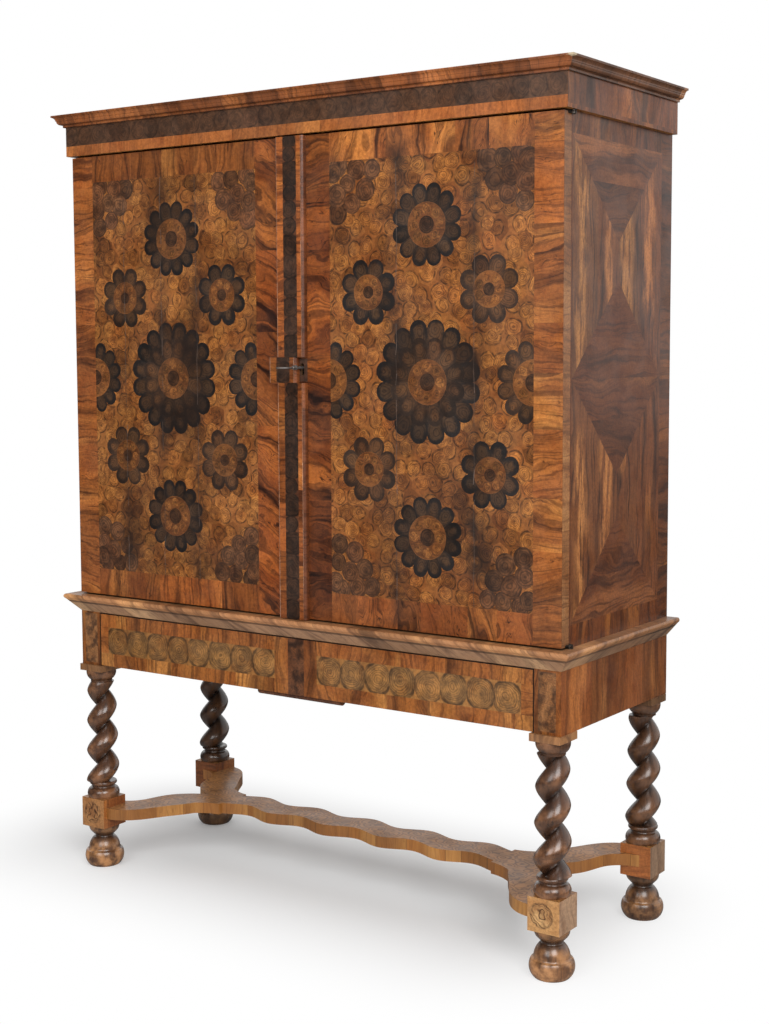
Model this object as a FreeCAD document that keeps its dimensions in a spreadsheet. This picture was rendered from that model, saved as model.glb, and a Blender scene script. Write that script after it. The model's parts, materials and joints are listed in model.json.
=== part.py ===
"""Oyster-veneered cabinet on a stand with barley-twist legs. Millimetres, +Z up, front towards -Y.

The origin lies on the floor, under the middle of the whole object's box, key included.
"""
import FreeCAD
import Part
import math
import os
import re

import Sketcher

Vector = FreeCAD.Vector
doc = FreeCAD.newDocument("CabinetOnStand")
sheet = doc.addObject("Spreadsheet::Sheet", "Sizes")

# Driving dimensions: name, value, what it is.
SIZES = [
    ("stand_depth", 476, "stand, front face of its frieze to the back"),
    ("stand_width", 1316, "stand across its frieze"),
    ("board", 22, "thickness of the carcase and stand boards"),
    ("foot_height", 98, "floor to the underside of a stretcher block"),
    ("foot_radius", 46.5, "widest part of a bun foot"),
    ("foot_base_radius", 36, "flat that stands on the floor"),
    ("foot_collar_radius", 36, "collar under the block"),
    ("foot_groove_radius", 21, "groove between bun and collar"),
    ("block_width", 72.4, "square stretcher block"),
    ("block_height", 70.4, "stretcher block"),
    ("leg_height", 313.3, "turned leg, block to cap plate"),
    ("leg_inset_side", 33, "leg axis in from the stand's side"),
    ("leg_inset_front", 28.1, "leg axis in from the stand's front"),
    ("leg_inset_back", 39.4, "leg axis in from the back"),
    ("leg_torus_radius", 38.5, "round base of a leg"),
    ("leg_torus_height", 22, "round base of a leg"),
    ("leg_groove_radius", 26.5, "groove over the round base"),
    ("leg_collar_radius", 32.5, "collar that the twist springs from"),
    ("leg_collar_height", 17, "groove and collar"),
    ("twist_crest_low", 39.6, "twist's outer radius at its foot"),
    ("twist_crest_high", 33.8, "twist's outer radius at its top"),
    ("twist_root", 12, "radius at the bottom of the groove"),
    ("twist_pitch", 73.5, "rise of one turn"),
    ("twist_start_front_left", 32, "degrees the leg is turned on its axis"),
    ("twist_start_front_right", 225, "degrees the leg is turned on its axis"),
    ("twist_start_back_left", 4, "degrees the leg is turned on its axis"),
    ("twist_start_back_right", 302, "degrees the leg is turned on its axis"),
    ("bowl_neck_radius", 25.6, "neck under the bowl"),
    ("bowl_radius", 35, "bowl under the cap plate"),
    ("bowl_height", 28.3, "neck and bowl"),
    ("cap_width", 70.4, "square cap plate on a leg"),
    ("cap_height", 15.6, "cap plate"),
    ("stretcher_thick", 26, "flat stretcher boards"),
    ("stretcher_lift", 121.5, "floor to the underside of the stretcher"),
    ("spine_half", 388, "half the length of the wavy spine"),
    ("spine_width", 77, "spine across its wavy edges"),
    ("spine_wave", 161, "length of one wave"),
    ("spine_swing", 11, "how far the wave swings each way"),
    ("spine_offset", 9, "mean line of the spine behind the legs' centre line"),
    ("yoke_end_half", 51, "half the width of a yoke where the spine meets it"),
    ("yoke_notch", 471, "x of the brace's inward notch"),
    ("frieze_height", 148.7, "stand sides, cap plates to the top board"),
    ("stile_width", 62, "corner stile beside the drawer"),
    ("drawer_height", 126.5, "drawer front"),
    ("drawer_gap", 1.5, "gap round the drawer front"),
    ("drawer_lift", 1.7, "drawer front above the cap plates"),
    ("drawer_front_thick", 20, "drawer front"),
    ("drawer_side_thick", 12, "drawer sides and back"),
    ("drawer_back_room", 18, "closed drawer to the stand's back board"),
    ("drawer_side_inset", 4.5, "drawer side in from the end of the front"),
    ("drawer_side_lift", 12, "underside of a drawer side above the front's lower edge"),
    ("drawer_side_height", 109, "drawer side"),
    ("drawer_bottom_thick", 7, "drawer bottom"),
    ("drawer_bottom_lift", 4, "drawer bottom above the sides' lower edge"),
    ("drawer_back_drop", 8, "drawer back below the sides' upper edge"),
    ("drawer_play", 0.5, "sideways play at the drawer guides"),
    ("runner_gap", 0.2, "drawer sides above their runners"),
    ("runner_bearing", 18, "how far the drawer sides bear on the runners"),
    ("grip_length", 228, "finger grip under the drawer front"),
    ("grip_depth", 22, "finger grip, front to back"),
    ("grip_height", 12, "finger grip"),
    ("grip_setback", 6, "finger grip behind the drawer's face"),
    ("waist_projection", 30.4, "waist moulding out from the stand"),
    ("waist_height", 41.5, "waist moulding, foot of the splay to its top"),
    ("waist_splay_out", 26, "top of the splay, out from the stand"),
    ("waist_bead_height", 12, "rounded nose over the splay"),
    ("case_inset", 0.2, "case's side in from the stand's side"),
    ("case_setback", 29, "front edge of the case's sides behind the stand's frieze"),
    ("case_height", 1038, "case"),
    ("back_thick", 12, "back boards"),
    ("back_board_count", 5, "back boards side by side"),
    ("back_gap", 0.4, "gap between back boards"),
    ("shelf_thick", 18, "shelves"),
    ("shelf_low", 320, "lower shelf's underside above the case's floor"),
    ("shelf_high", 660, "upper shelf's underside above the case's floor"),
    ("shelf_setback", 21, "shelves behind the front edge of the sides"),
    ("bearer", 20, "square shelf bearers"),
    ("door_thick", 30, "door with its veneer"),
    ("veneer", 1.5, "marquetry veneer"),
    ("door_gap", 4, "gap over and under the doors"),
    ("door_back_gap", 0.4, "gap behind the closed doors"),
    ("parting", 1, "half the gap between the doors"),
    ("lap_gap", 0.4, "gap between the strip and the left door"),
    ("outer_band", 63.8, "crossband beside the case's side"),
    ("inner_band", 99, "crossband beside the parting"),
    ("top_band", 60, "crossband at the top of a door"),
    ("bottom_band", 62, "crossband at the bottom of a door"),
    ("pivot_out", 3.7, "pivot axis outside the case's side"),
    ("pin_radius", 3, "pivot pin"),
    ("pin_clearance", 0.05, "pin in its eye"),
    ("eye_radius", 6, "eye of a pivot plate"),
    ("eye_clearance", 0.8, "round an eye where the case's side is notched"),
    ("door_plate_thick", 4, "pivot plate on a door"),
    ("case_plate_thick", 3, "pivot plate on the case"),
    ("plate_length", 48, "door plate along the door"),
    ("plate_width", 14, "door plate across the door's edge"),
    ("plate_inset", 1.2, "door plate in from the door's back"),
    ("pin_end", 1, "pivot pin past its eye"),
    ("case_plate_length", 46, "case plate along the case's side"),
    ("case_plate_width", 14, "case plate across the case's side"),
    ("case_plate_inset", 4, "case plate in from the case's side"),
    ("strip_thick", 12, "astragal strip"),
    ("strip_left", 32, "strip's reach over the left door"),
    ("strip_right", 40, "strip's reach over the right door"),
    ("strip_round", 6, "rounded right edge of the strip"),
    ("strip_foot_gap", 1.5, "strip above the waist moulding"),
    ("cover_low", 513.5, "keyhole cover's lower edge above the case's foot"),
    ("cover_height", 54, "keyhole cover"),
    ("cover_gap", 0.5, "gap round the keyhole cover"),
    ("cover_open", 22, "how far the cover stands open"),
    ("tongue_height", 3, "tongues on the cover's ends"),
    ("tongue_thick", 4, "tongues on the cover's ends"),
    ("tongue_gap", 0.3, "tongue in its groove"),
    ("tongue_inset", 3, "tongues in from the cover's sides"),
    ("key_x", 25, "key's axis right of the middle"),
    ("key_rise", 32.5, "key's axis above the keyhole cover's lower edge"),
    ("key_reach", 79, "key out from the door's face"),
    ("key_radius", 3, "key's shank"),
    ("key_collar_radius", 5.4, "collar on the shank"),
    ("key_collar_out", 20, "collar in front of the door's face"),
    ("key_collar_length", 14, "collar and the swelling next to it"),
    ("key_bow_radius", 15.5, "ring of the key's bow"),
    ("key_bow_thick", 2, "half thickness of the ring"),
    ("key_tip", 22.5, "tip of the key behind the door's face"),
    ("bit_drop", 16, "key's bit below its axis"),
    ("bit_thick", 3, "key's bit"),
    ("bit_length", 10, "key's bit along the shank"),
    ("bit_back", 1, "key's bit back from the tip"),
    ("pipe_radius", 1.56, "hole up the key's shank"),
    ("lock_pin_radius", 1.5, "pin that the key turns on"),
    ("lock_pin_in", 12, "pin inside the key's shank"),
    ("pipe_depth", 14, "hole up the key's shank"),
    ("keyhole_radius", 5, "keyhole"),
    ("keyhole_height", 26, "keyhole"),
    ("keyhole_above", 9, "top of the keyhole above the key's axis"),
    ("key_plate_width", 32, "keyhole plate"),
    ("key_plate_height", 49, "keyhole plate"),
    ("lock_width", 77, "lock case along the door"),
    ("lock_height", 88, "lock case"),
    ("lock_depth", 20.6, "lock case let into the door's back"),
    ("lock_wall", 2, "lock case"),
    ("lock_above", 42, "top of the lock case above the key's axis"),
    ("lock_bolt_height", 16, "lock bolt"),
    ("lock_bolt_thick", 5, "lock bolt"),
    ("lock_bolt_length", 56, "lock bolt"),
    ("lock_bolt_lift", 18, "lock bolt's middle above the key's axis"),
    ("lock_bolt_throw", 12, "travel of the lock bolt"),
    ("slot_gap", 0.3, "clearance round sliding iron"),
    ("door_bolt", 8, "square iron bolts of the left door"),
    ("door_bolt_length", 150, "iron bolts"),
    ("door_bolt_in", 39, "iron bolts in from the door's edge"),
    ("door_bolt_stand_off", 5.4, "iron bolts behind the door's back"),
    ("door_bolt_rest", 4, "retracted bolt's end to the case's board"),
    ("door_bolt_throw", 16, "travel of an iron bolt"),
    ("staple_height", 10, "staples that hold the iron bolts"),
    ("staple_wall", 3, "iron round a staple's hole"),
    ("staple_end", 30, "first staple from the bolt's end"),
    ("cornice_overhang_side", 11.6, "cornice frieze outside the case's side"),
    ("cornice_overhang_front", 37.4, "cornice frieze in front of the case's sides"),
    ("cornice_frieze_height", 67, "cornice frieze"),
    ("cornice_board", 18, "cornice frieze boards"),
    ("crown_height", 27, "crown moulding"),
    ("crown_projection", 24.8, "crown moulding out from the frieze"),
    ("dust_board_thick", 12, "board inside the top of the cornice"),
]

# Places that follow from the driving dimensions.
PLACES = [
    ("case_depth", "stand_depth - case_setback"),
    ("back_plane", "(case_depth + door_thick + key_reach + leg_inset_back - foot_radius) / 2"),
    ("stand_front", "back_plane - stand_depth"),
    ("stand_half", "stand_width / 2"),
    ("block_top", "foot_height + block_height"),
    ("leg_top", "block_top + leg_height"),
    ("cap_top", "leg_top + cap_height"),
    ("stand_under_top", "cap_top + frieze_height"),
    ("case_foot", "stand_under_top + board"),
    ("leg_x", "stand_half - leg_inset_side"),
    ("leg_front", "stand_front + leg_inset_front"),
    ("leg_back", "back_plane - leg_inset_back"),
    ("legs_middle", "(leg_front + leg_back) / 2"),
    ("twist_foot", "leg_torus_height + leg_collar_height"),
    ("twist_height", "leg_height - twist_foot - bowl_height"),
    ("twist_turns", "twist_height / twist_pitch"),
    ("opening_half", "stand_half - stile_width"),
    ("drawer_half", "opening_half - drawer_gap"),
    ("drawer_foot", "cap_top + drawer_lift"),
    ("drawer_head", "drawer_foot + drawer_height"),
    ("drawer_box_front", "stand_front + drawer_front_thick"),
    ("drawer_box_back", "back_plane - board - drawer_back_room"),
    ("drawer_box_half", "drawer_half - drawer_side_inset"),
    ("drawer_side_foot", "drawer_foot + drawer_side_lift"),
    ("drawer_side_head", "drawer_side_foot + drawer_side_height"),
    ("waist_foot", "case_foot - waist_height"),
    ("case_half", "stand_half - case_inset"),
    ("case_inner", "case_half - board"),
    ("case_front", "back_plane - case_depth"),
    ("case_top", "case_foot + case_height"),
    ("case_floor", "case_foot + board"),
    ("case_ceiling", "case_top - board"),
    ("back_front", "back_plane - back_thick"),
    ("door_back", "case_front - door_back_gap"),
    ("door_face", "case_front - door_thick"),
    ("left_door_face", "door_face + lap_gap"),
    ("door_foot", "case_foot + door_gap"),
    ("door_head", "case_top - door_gap"),
    ("pivot_x", "case_half + pivot_out"),
    ("strip_face", "door_face - strip_thick"),
    ("cover_foot", "case_foot + cover_low"),
    ("cover_head", "cover_foot + cover_height"),
    ("key_z", "cover_foot + key_rise"),
    ("tongue_face", "strip_face + (strip_thick - tongue_thick) / 2"),
    ("lock_front", "door_back - lock_depth"),
    ("lock_head", "key_z + lock_above"),
    ("lock_back", "door_back - lock_wall"),
    ("key_end", "door_face - key_reach"),
    ("key_tip_y", "door_face + key_tip"),
    ("lock_bolt_z", "key_z + lock_bolt_lift"),
    ("lock_bolt_back", "lock_back - 2 * slot_gap"),
    ("lock_bolt_front", "lock_bolt_back - lock_bolt_thick"),
    ("door_bolt_x", "parting + door_bolt_in"),
    ("door_bolt_y", "door_back + door_bolt_stand_off + door_bolt / 2"),
    ("frieze_half", "case_half + cornice_overhang_side"),
    ("frieze_front", "case_front - cornice_overhang_front"),
    ("frieze_head", "case_top + cornice_frieze_height"),
    ("crown_head", "frieze_head + crown_height"),
]

for row, (alias, value, note) in enumerate(SIZES, start=1):
    sheet.set("A%d" % row, alias)
    sheet.set("B%d" % row, str(value))
    sheet.setAlias("B%d" % row, alias)
    sheet.set("C%d" % row, note)
for row, (alias, formula) in enumerate(PLACES, start=len(SIZES) + 2):
    sheet.set("A%d" % row, alias)
    sheet.set("B%d" % row, "=" + formula)
    sheet.setAlias("B%d" % row, alias)
doc.recompute()

NAMES = {entry[0] for entry in SIZES + PLACES}
pieces = []


def size(alias):
    """A cell's value in millimetres."""
    return float(sheet.get(alias))


def rule(text):
    """An expression on the sheet's cells, from one written with bare names."""
    def prefixed(word):
        return "Sizes." + word.group() if word.group() in NAMES else word.group()

    return re.sub(r"[A-Za-z_][A-Za-z_0-9]*", prefixed, str(text))


def worth(text):
    """The value of such an expression."""
    return float(doc.getObject("Sizes").evalExpression(rule(text)))


def bind(item, **rules):
    """Bind properties to the sheet; a double underscore stands for a dot."""
    for prop, text in rules.items():
        item.setExpression(prop.replace("__", "."), rule(text))


def keep(item, name):
    """Name a finished piece: its label is its node."""
    item.Label = name
    pieces.append(item)
    return item


def sides(sign, near, far):
    """A range in x, on the right for sign 1 and mirrored to the left for sign -1."""
    if sign > 0:
        return near, far
    return "-(%s)" % far, "-(%s)" % near


def slab(xs, ys, zs):
    """A rectangular block between low and high faces."""
    item = doc.addObject("Part::Box", "Slab")
    bind(item, Length="(%s) - (%s)" % (xs[1], xs[0]), Width="(%s) - (%s)" % (ys[1], ys[0]),
         Height="(%s) - (%s)" % (zs[1], zs[0]))
    bind(item, Placement__Base__x=xs[0], Placement__Base__y=ys[0], Placement__Base__z=zs[0])
    return item


def rod(radius, length, x, y, z, turn=None):
    """A cylinder from a point, along +Z or turned about X to run along Y."""
    item = doc.addObject("Part::Cylinder", "Rod")
    bind(item, Radius=radius, Height=length)
    if turn is not None:
        item.Placement = FreeCAD.Placement(Vector(), FreeCAD.Rotation(Vector(1, 0, 0), turn))
    bind(item, Placement__Base__x=x, Placement__Base__y=y, Placement__Base__z=z)
    return item


def joined(*items):
    """Solids fused into one."""
    item = doc.addObject("Part::MultiFuse", "Joined")
    item.Shapes = list(items)
    return item


def cut(base, *tools):
    """A solid less its tools."""
    item = doc.addObject("Part::Cut", "Cut")
    item.Base = base
    item.Tool = tools[0] if len(tools) == 1 else joined(*tools)
    return item


def group(*items):
    """Separate solids that share a node."""
    item = doc.addObject("Part::Compound", "Group")
    item.Links = list(items)
    return item


def new_body(name):
    return doc.addObject("PartDesign::Body", name + "_body")


def origin_plane(body, role):
    return next(part for part in body.Origin.OriginFeatures if part.Role == role)


def place_point(sketch, geometry, position, point):
    """Fix a sketch point at the two expressions of its place."""
    for word, text, axis in (("DistanceX", point[0], -2), ("DistanceY", point[1], -1)):
        if str(text) == "0":
            sketch.addConstraint(Sketcher.Constraint("PointOnObject", geometry, position, axis))
        else:
            number = sketch.addConstraint(
                Sketcher.Constraint(word, -1, 1, geometry, position, worth(text)))
            sketch.setExpression("Constraints[%d]" % number, rule(text))


def outline(body, role, path, offset=None):
    """A closed sketch. A step of two is a line's end; a step of four is an arc's middle and end."""
    sketch = body.newObject("Sketcher::SketchObject", "Outline")
    sketch.AttachmentSupport = [(origin_plane(body, role), "")]
    sketch.MapMode = "FlatFace"
    if offset is not None:
        sketch.setExpression("AttachmentOffset.Base.z", rule(offset))
    steps = path[1:] + [path[0]]
    start = path[0]
    joints = []
    mids = []
    for step in steps:
        ends = [Vector(worth(p[0]), worth(p[1]), 0) for p in (start, step[-2:])]
        if len(step) == 2:
            index = sketch.addGeometry(Part.LineSegment(ends[0], ends[1]))
            first = 1
        else:
            middle = Vector(worth(step[0]), worth(step[1]), 0)
            index = sketch.addGeometry(Part.Arc(ends[0], middle, ends[1]))
            first = 1 if (sketch.getPoint(index, 1) - ends[0]).Length < 1e-4 else 2
            mids.append((index, step[:2]))
        joints.append((index, first, start))
        start = step[-2:]
    for number, (index, first, _) in enumerate(joints):
        following, beginning, _ = joints[(number + 1) % len(joints)]
        sketch.addConstraint(Sketcher.Constraint("Coincident", index, 3 - first, following, beginning))
    for index, first, point in joints:
        place_point(sketch, index, first, point)
    for index, point in mids:
        marker = sketch.addGeometry(Part.Point(Vector(worth(point[0]), worth(point[1]), 0)), True)
        place_point(sketch, marker, 1, point)
        sketch.addConstraint(Sketcher.Constraint("PointOnObject", marker, 1, index))
    return sketch


def pad(body, sketch, length):
    feature = body.newObject("PartDesign::Pad", "Pad")
    feature.Profile = sketch
    bind(feature, Length=length)
    sketch.Visibility = False
    return feature


def pocket(body, sketch):
    """A cut right through, downwards from its sketch."""
    feature = body.newObject("PartDesign::Pocket", "Pocket")
    feature.Profile = sketch
    feature.Type = "ThroughAll"
    return feature


def turned(name, path):
    """A piece turned about Z, from half its outline as radius and height."""
    body = new_body(name)
    sketch = outline(body, "XZ_Plane", path)
    feature = body.newObject("PartDesign::Revolution", "Turning")
    feature.Profile = sketch
    feature.ReferenceAxis = (sketch, ["V_Axis"])
    feature.Angle = 360
    return body


def solid_feature(name, shape):
    item = doc.addObject("Part::Feature", name)
    item.Shape = shape
    return item


# ---- Stand: feet, blocks, legs ------------------------------------------------------------------

CORNERS = [
    ("front_left", "-leg_x", "leg_front"),
    ("front_right", "leg_x", "leg_front"),
    ("back_left", "-leg_x", "leg_back"),
    ("back_right", "leg_x", "leg_back"),
]


def foot(corner, x, y):
    """Bun foot: a bun, a bell shoulder over it, a groove and a collar."""
    body = turned("foot_" + corner, [
        ("0", "0"),
        ("foot_base_radius", "0"),
        ("foot_radius", "0.2 * foot_height", "0.925 * foot_radius", "0.38 * foot_height"),
        ("0.83 * foot_radius", "0.41 * foot_height", "0.8 * foot_radius", "0.46 * foot_height"),
        ("0.735 * foot_radius", "0.57 * foot_height", "1.2 * foot_groove_radius", "0.7 * foot_height"),
        ("foot_groove_radius", "0.74 * foot_height", "1.2 * foot_groove_radius", "0.78 * foot_height"),
        ("0.85 * foot_collar_radius", "0.84 * foot_height"),
        ("0.97 * foot_collar_radius", "0.9 * foot_height", "foot_collar_radius", "foot_height"),
        ("0", "foot_height"),
    ])
    bind(body, Placement__Base__x=x, Placement__Base__y=y)
    return keep(body, "foot_" + corner)


def square_on_axis(name, x, y, width, low, high):
    half = "%s / 2" % width
    return keep(slab(("%s - %s" % (x, half), "%s + %s" % (x, half)),
                     ("%s - %s" % (y, half), "%s + %s" % (y, half)), (low, high)), name)


TWIST_SECTIONS_PER_TURN = 12
TWIST_POINTS = 16
BULGE_POWER = 1.65


def twist_shaft():
    """One rope wound round the leg: round bulges that meet in a sharp helical groove."""
    height = size("twist_height")
    crest_low, crest_high = size("twist_crest_low"), size("twist_crest_high")
    root = size("twist_root")
    levels = round(size("twist_turns") * TWIST_SECTIONS_PER_TURN)
    rows = []
    for level in range(levels + 1):
        share = level / levels
        crest = crest_low + (crest_high - crest_low) * share
        turn = 2 * math.pi * size("twist_turns") * share
        row = []
        for step in range(TWIST_POINTS + 1):
            across = step / TWIST_POINTS
            radius = root + (crest - root) * (1 - abs(2 * across - 1) ** BULGE_POWER)
            angle = turn + 2 * math.pi * across
            row.append(Vector(radius * math.cos(angle), radius * math.sin(angle), height * share))
        rows.append(row)
    surface = Part.BSplineSurface()
    surface.interpolate(rows)
    u_low, u_high, v_low, v_high = surface.bounds()
    rises_with_u = abs(surface.value(u_low, v_low).z - surface.value(u_high, v_low).z) > 1
    flanks = []
    for half in (0, 1):
        flank = surface.copy()
        if rises_with_u:
            step = (v_high - v_low) / 2
            flank.segment(u_low, u_high, v_low + half * step, v_low + (half + 1) * step)
        else:
            step = (u_high - u_low) / 2
            flank.segment(u_low + half * step, u_low + (half + 1) * step, v_low, v_high)
        flanks.append(flank.toShape())
    ends = []
    for level in (0, height):
        rim = [edge for flank in flanks for edge in flank.Edges
               if max(abs(edge.BoundBox.ZMin - level), abs(edge.BoundBox.ZMax - level)) < 0.001]
        ends.append(Part.Face(Part.Wire(Part.__sortEdges__(rim))))
    shell = Part.makeShell(flanks + ends)
    shell.sewShape()
    shaft = Part.Solid(shell)
    if shaft.Volume < 0:
        shaft.reverse()
    return shaft


def spun(path):
    """A solid turned about Z from steps like an outline's, in numbers."""
    edges = []
    for before, step in zip(path, path[1:] + [path[0]]):
        start, end = (Vector(p[-2], 0, p[-1]) for p in (before, step))
        if len(step) == 2:
            edges.append(Part.LineSegment(start, end).toShape())
        else:
            edges.append(Part.Arc(start, Vector(step[0], 0, step[1]), end).toShape())
    return Part.Face(Part.Wire(edges)).revolve(Vector(), Vector(0, 0, 1), 360)


def leg_shape():
    """Round base, collar, twisted shaft, and a bowl under the cap plate."""
    torus, torus_height = size("leg_torus_radius"), size("leg_torus_height")
    groove, collar = size("leg_groove_radius"), size("leg_collar_radius")
    collar_height, foot_of_twist = size("leg_collar_height"), size("twist_foot")
    base = spun([
        (0, 0),
        (torus - 2.5, 0),
        (torus, 0.45 * torus_height, torus - 5.5, torus_height),
        (groove + 1.5, torus_height + 2),
        (groove, torus_height + 5, groove + 1.5, torus_height + 8),
        (collar, torus_height + 0.7 * collar_height, collar - 2, foot_of_twist),
        (0, foot_of_twist),
    ])
    top_of_twist = foot_of_twist + size("twist_height")
    neck, bowl, height = size("bowl_neck_radius"), size("bowl_radius"), size("leg_height")
    rise = size("bowl_height")
    head = spun([
        (0, top_of_twist),
        (neck, top_of_twist),
        (neck, top_of_twist + 0.15 * rise),
        (bowl - 2, top_of_twist + 0.45 * rise, bowl, height),
        (0, height),
    ])
    shaft = twist_shaft()
    shaft.translate(Vector(0, 0, foot_of_twist))
    return shaft.fuse([base, head])


leg_solid = leg_shape()
caps = []
for corner, x, y in CORNERS:
    foot(corner, x, y)
    square_on_axis("block_" + corner, x, y, "block_width", "foot_height", "block_top")
    leg = solid_feature("leg_" + corner, leg_solid)
    bind(leg, Placement__Base__x=x, Placement__Base__y=y, Placement__Base__z="block_top")
    bind(leg, Placement__Rotation__Angle="twist_start_" + corner)
    keep(leg, "leg_" + corner)
    half = "cap_width / 2"
    caps.append(slab(("%s - %s" % (x, half), "%s + %s" % (x, half)),
                     ("%s - %s" % (y, half), "%s + %s" % (y, half)), ("leg_top", "cap_top")))
keep(group(*caps), "leg_caps")

# ---- Stretcher -----------------------------------------------------------------------------------

SPINE_POINTS_PER_WAVE = 8


def curve(points):
    """A smooth edge through points."""
    line = Part.BSplineCurve()
    line.interpolate(points)
    return line.toShape()


def board_from(edges):
    """A flat stretcher board from its plan's edges."""
    lift = size("stretcher_lift")
    plan = Part.Face(Part.Wire(edges))
    plan.translate(Vector(0, 0, lift))
    return plan.extrude(Vector(0, 0, size("stretcher_thick")))


def spine_shape():
    """A ribbon whose two edges wave together."""
    half, width, middle = size("spine_half"), size("spine_width"), size("legs_middle")
    count = 2 * round(half / size("spine_wave") * SPINE_POINTS_PER_WAVE)
    edges = []
    ends = []
    for side in (-1, 1):
        points = []
        for step in range(count + 1):
            x = half * (2 * step / count - 1)
            wave = size("spine_swing") * math.cos(2 * math.pi * x / size("spine_wave"))
            points.append(Vector(x, middle + size("spine_offset") + wave + side * width / 2, 0))
        edges.append(curve(points))
        ends.append((points[0], points[-1]))
    closing = [Part.LineSegment(ends[0][k], ends[1][k]).toShape() for k in (0, 1)]
    return board_from([edges[0], closing[1], edges[1], closing[0]])


# The edges of a yoke's front half. Each place is a step along x and a step away from the middle line.
YOKE_BULGE = [(0, 0), (32, 8), (59, 25)]
YOKE_WAIST_FROM_SPINE = [(59, 25), (74, 52), (96, 84)]
YOKE_WAIST_FROM_BLOCK = [(-77, 14), (-47, 46), (-19, 60), (0, 63)]
YOKE_BRACE_FROM_NOTCH = [(0, 0), (38, 22), (72, 56)]
YOKE_BRACE_FROM_BLOCK = [(-30, -74), (-20, -42), (-8, -24), (12, -10), (42, -1), (72, 5)]
YOKE_HEEL = [(0, 63), (1, 1), (72, 5)]


def yoke_shape(sign):
    """A brace-shaped board from front block to back block; its back half mirrors its front half."""
    middle = size("legs_middle")
    block_x, block_y = size("leg_x"), (size("leg_back") - size("leg_front")) / 2
    half_block = size("block_width") / 2
    from_spine = (size("spine_half"), size("yoke_end_half"))
    from_notch = (size("yoke_notch"), 0)
    from_block = (block_x - half_block, block_y - half_block)

    def places(side, *runs):
        return [Vector(sign * (start[0] + x), middle + side * (start[1] + v), 0)
                for start, steps in runs for x, v in steps]

    edges = []
    for side in (-1, 1):
        edges.append(curve(places(side, (from_spine, YOKE_BULGE))))
        edges.append(curve(places(side, (from_spine, YOKE_WAIST_FROM_SPINE),
                                  (from_block, YOKE_WAIST_FROM_BLOCK))))
        edges.append(curve(places(side, (from_notch, YOKE_BRACE_FROM_NOTCH),
                                  (from_block, YOKE_BRACE_FROM_BLOCK))))
        heel = places(side, (from_block, YOKE_HEEL))
        edges.extend(Part.LineSegment(*pair).toShape() for pair in zip(heel, heel[1:]))
    low, high = (places(side, (from_spine, YOKE_BULGE))[0] for side in (-1, 1))
    edges.append(Part.LineSegment(low, high).toShape())
    shape = board_from(Part.__sortEdges__(edges))
    for side in (-1, 1):
        block = Part.makeBox(2 * half_block, 2 * half_block, 2 * size("block_top"))
        block.translate(Vector(sign * block_x - half_block, middle + side * block_y - half_block, 0))
        shape = shape.cut(block)
    return shape


keep(solid_feature("stretcher_spine", spine_shape()), "stretcher_spine")
for name, sign in (("left", -1), ("right", 1)):
    keep(solid_feature("stretcher_yoke_" + name, yoke_shape(sign)), "stretcher_yoke_" + name)

# ---- Stand: frame, top, waist moulding -----------------------------------------------------------

FRAME_BACK = "stand_front + board"
for name, sign in (("left", -1), ("right", 1)):
    keep(slab(sides(sign, "stand_half - board", "stand_half"), (FRAME_BACK, "back_plane"),
              ("cap_top", "stand_under_top")), "stand_side_" + name)
keep(slab(("board - stand_half", "stand_half - board"), ("back_plane - board", "back_plane"),
          ("cap_top", "stand_under_top")), "stand_back")
stiles = [slab(sides(sign, "opening_half", "stand_half"), ("stand_front", FRAME_BACK),
               ("cap_top", "stand_under_top")) for sign in (-1, 1)]
rail = slab(("-opening_half", "opening_half"), ("stand_front", FRAME_BACK),
            ("drawer_head + drawer_gap", "stand_under_top"))
keep(group(*stiles, rail), "stand_front_frame")
keep(slab(("-stand_half", "stand_half"), ("stand_front", "back_plane"), ("stand_under_top", "case_foot")),
     "stand_top")


def moulding(name, run, half_width, face, projection, profile):
    """A straight moulding with mitred ends. Its profile gives reach from the face, and height."""
    body = new_body(name)
    signs = {"left": "-", "right": ""}

    def reach(text):
        if run == "front":
            return "%s - (%s)" % (face, text)
        if run == "right":
            return "%s + (%s)" % (half_width, text)
        return "-(%s) - (%s)" % (half_width, text)

    path = []
    for step in profile:
        path.append(tuple(reach(text) if k % 2 == 0 else text for k, text in enumerate(step)))
    top = profile[-1][-1]
    if run == "front":
        tip = "(%s + %s)" % (half_width, projection)
        pad(body, outline(body, "YZ_Plane", path, "-" + tip), "2 * " + tip)
        for sign in ("", "-"):
            mitre = [(sign + "(%s)" % half_width, face), (sign + tip, face),
                     (sign + tip, "%s - %s" % (face, projection))]
            pocket(body, outline(body, "XY_Plane", mitre, top))
    else:
        sketch = outline(body, "XZ_Plane", path, "-back_plane")
        pad(body, sketch, "back_plane - (%s - %s)" % (face, projection))
        sign = signs[run]
        mitre = [(sign + "(%s)" % half_width, face),
                 (sign + "(%s)" % half_width, "%s - %s" % (face, projection)),
                 (sign + "(%s + %s)" % (half_width, projection), "%s - %s" % (face, projection))]
        pocket(body, outline(body, "XY_Plane", mitre, top))
    return keep(body, name)


WAIST_PROFILE = [
    ("0", "waist_foot"),
    ("waist_splay_out", "case_foot - waist_bead_height"),
    ("0.96 * waist_projection", "case_foot - 0.75 * waist_bead_height"),
    ("waist_projection", "case_foot - 0.4 * waist_bead_height", "0.89 * waist_projection", "case_foot"),
    ("0", "case_foot"),
]
for run in ("front", "left", "right"):
    moulding("waist_moulding_" + run, run, "stand_half", "stand_front", "waist_projection", WAIST_PROFILE)

# ---- Drawer and what it runs on ------------------------------------------------------------------

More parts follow.
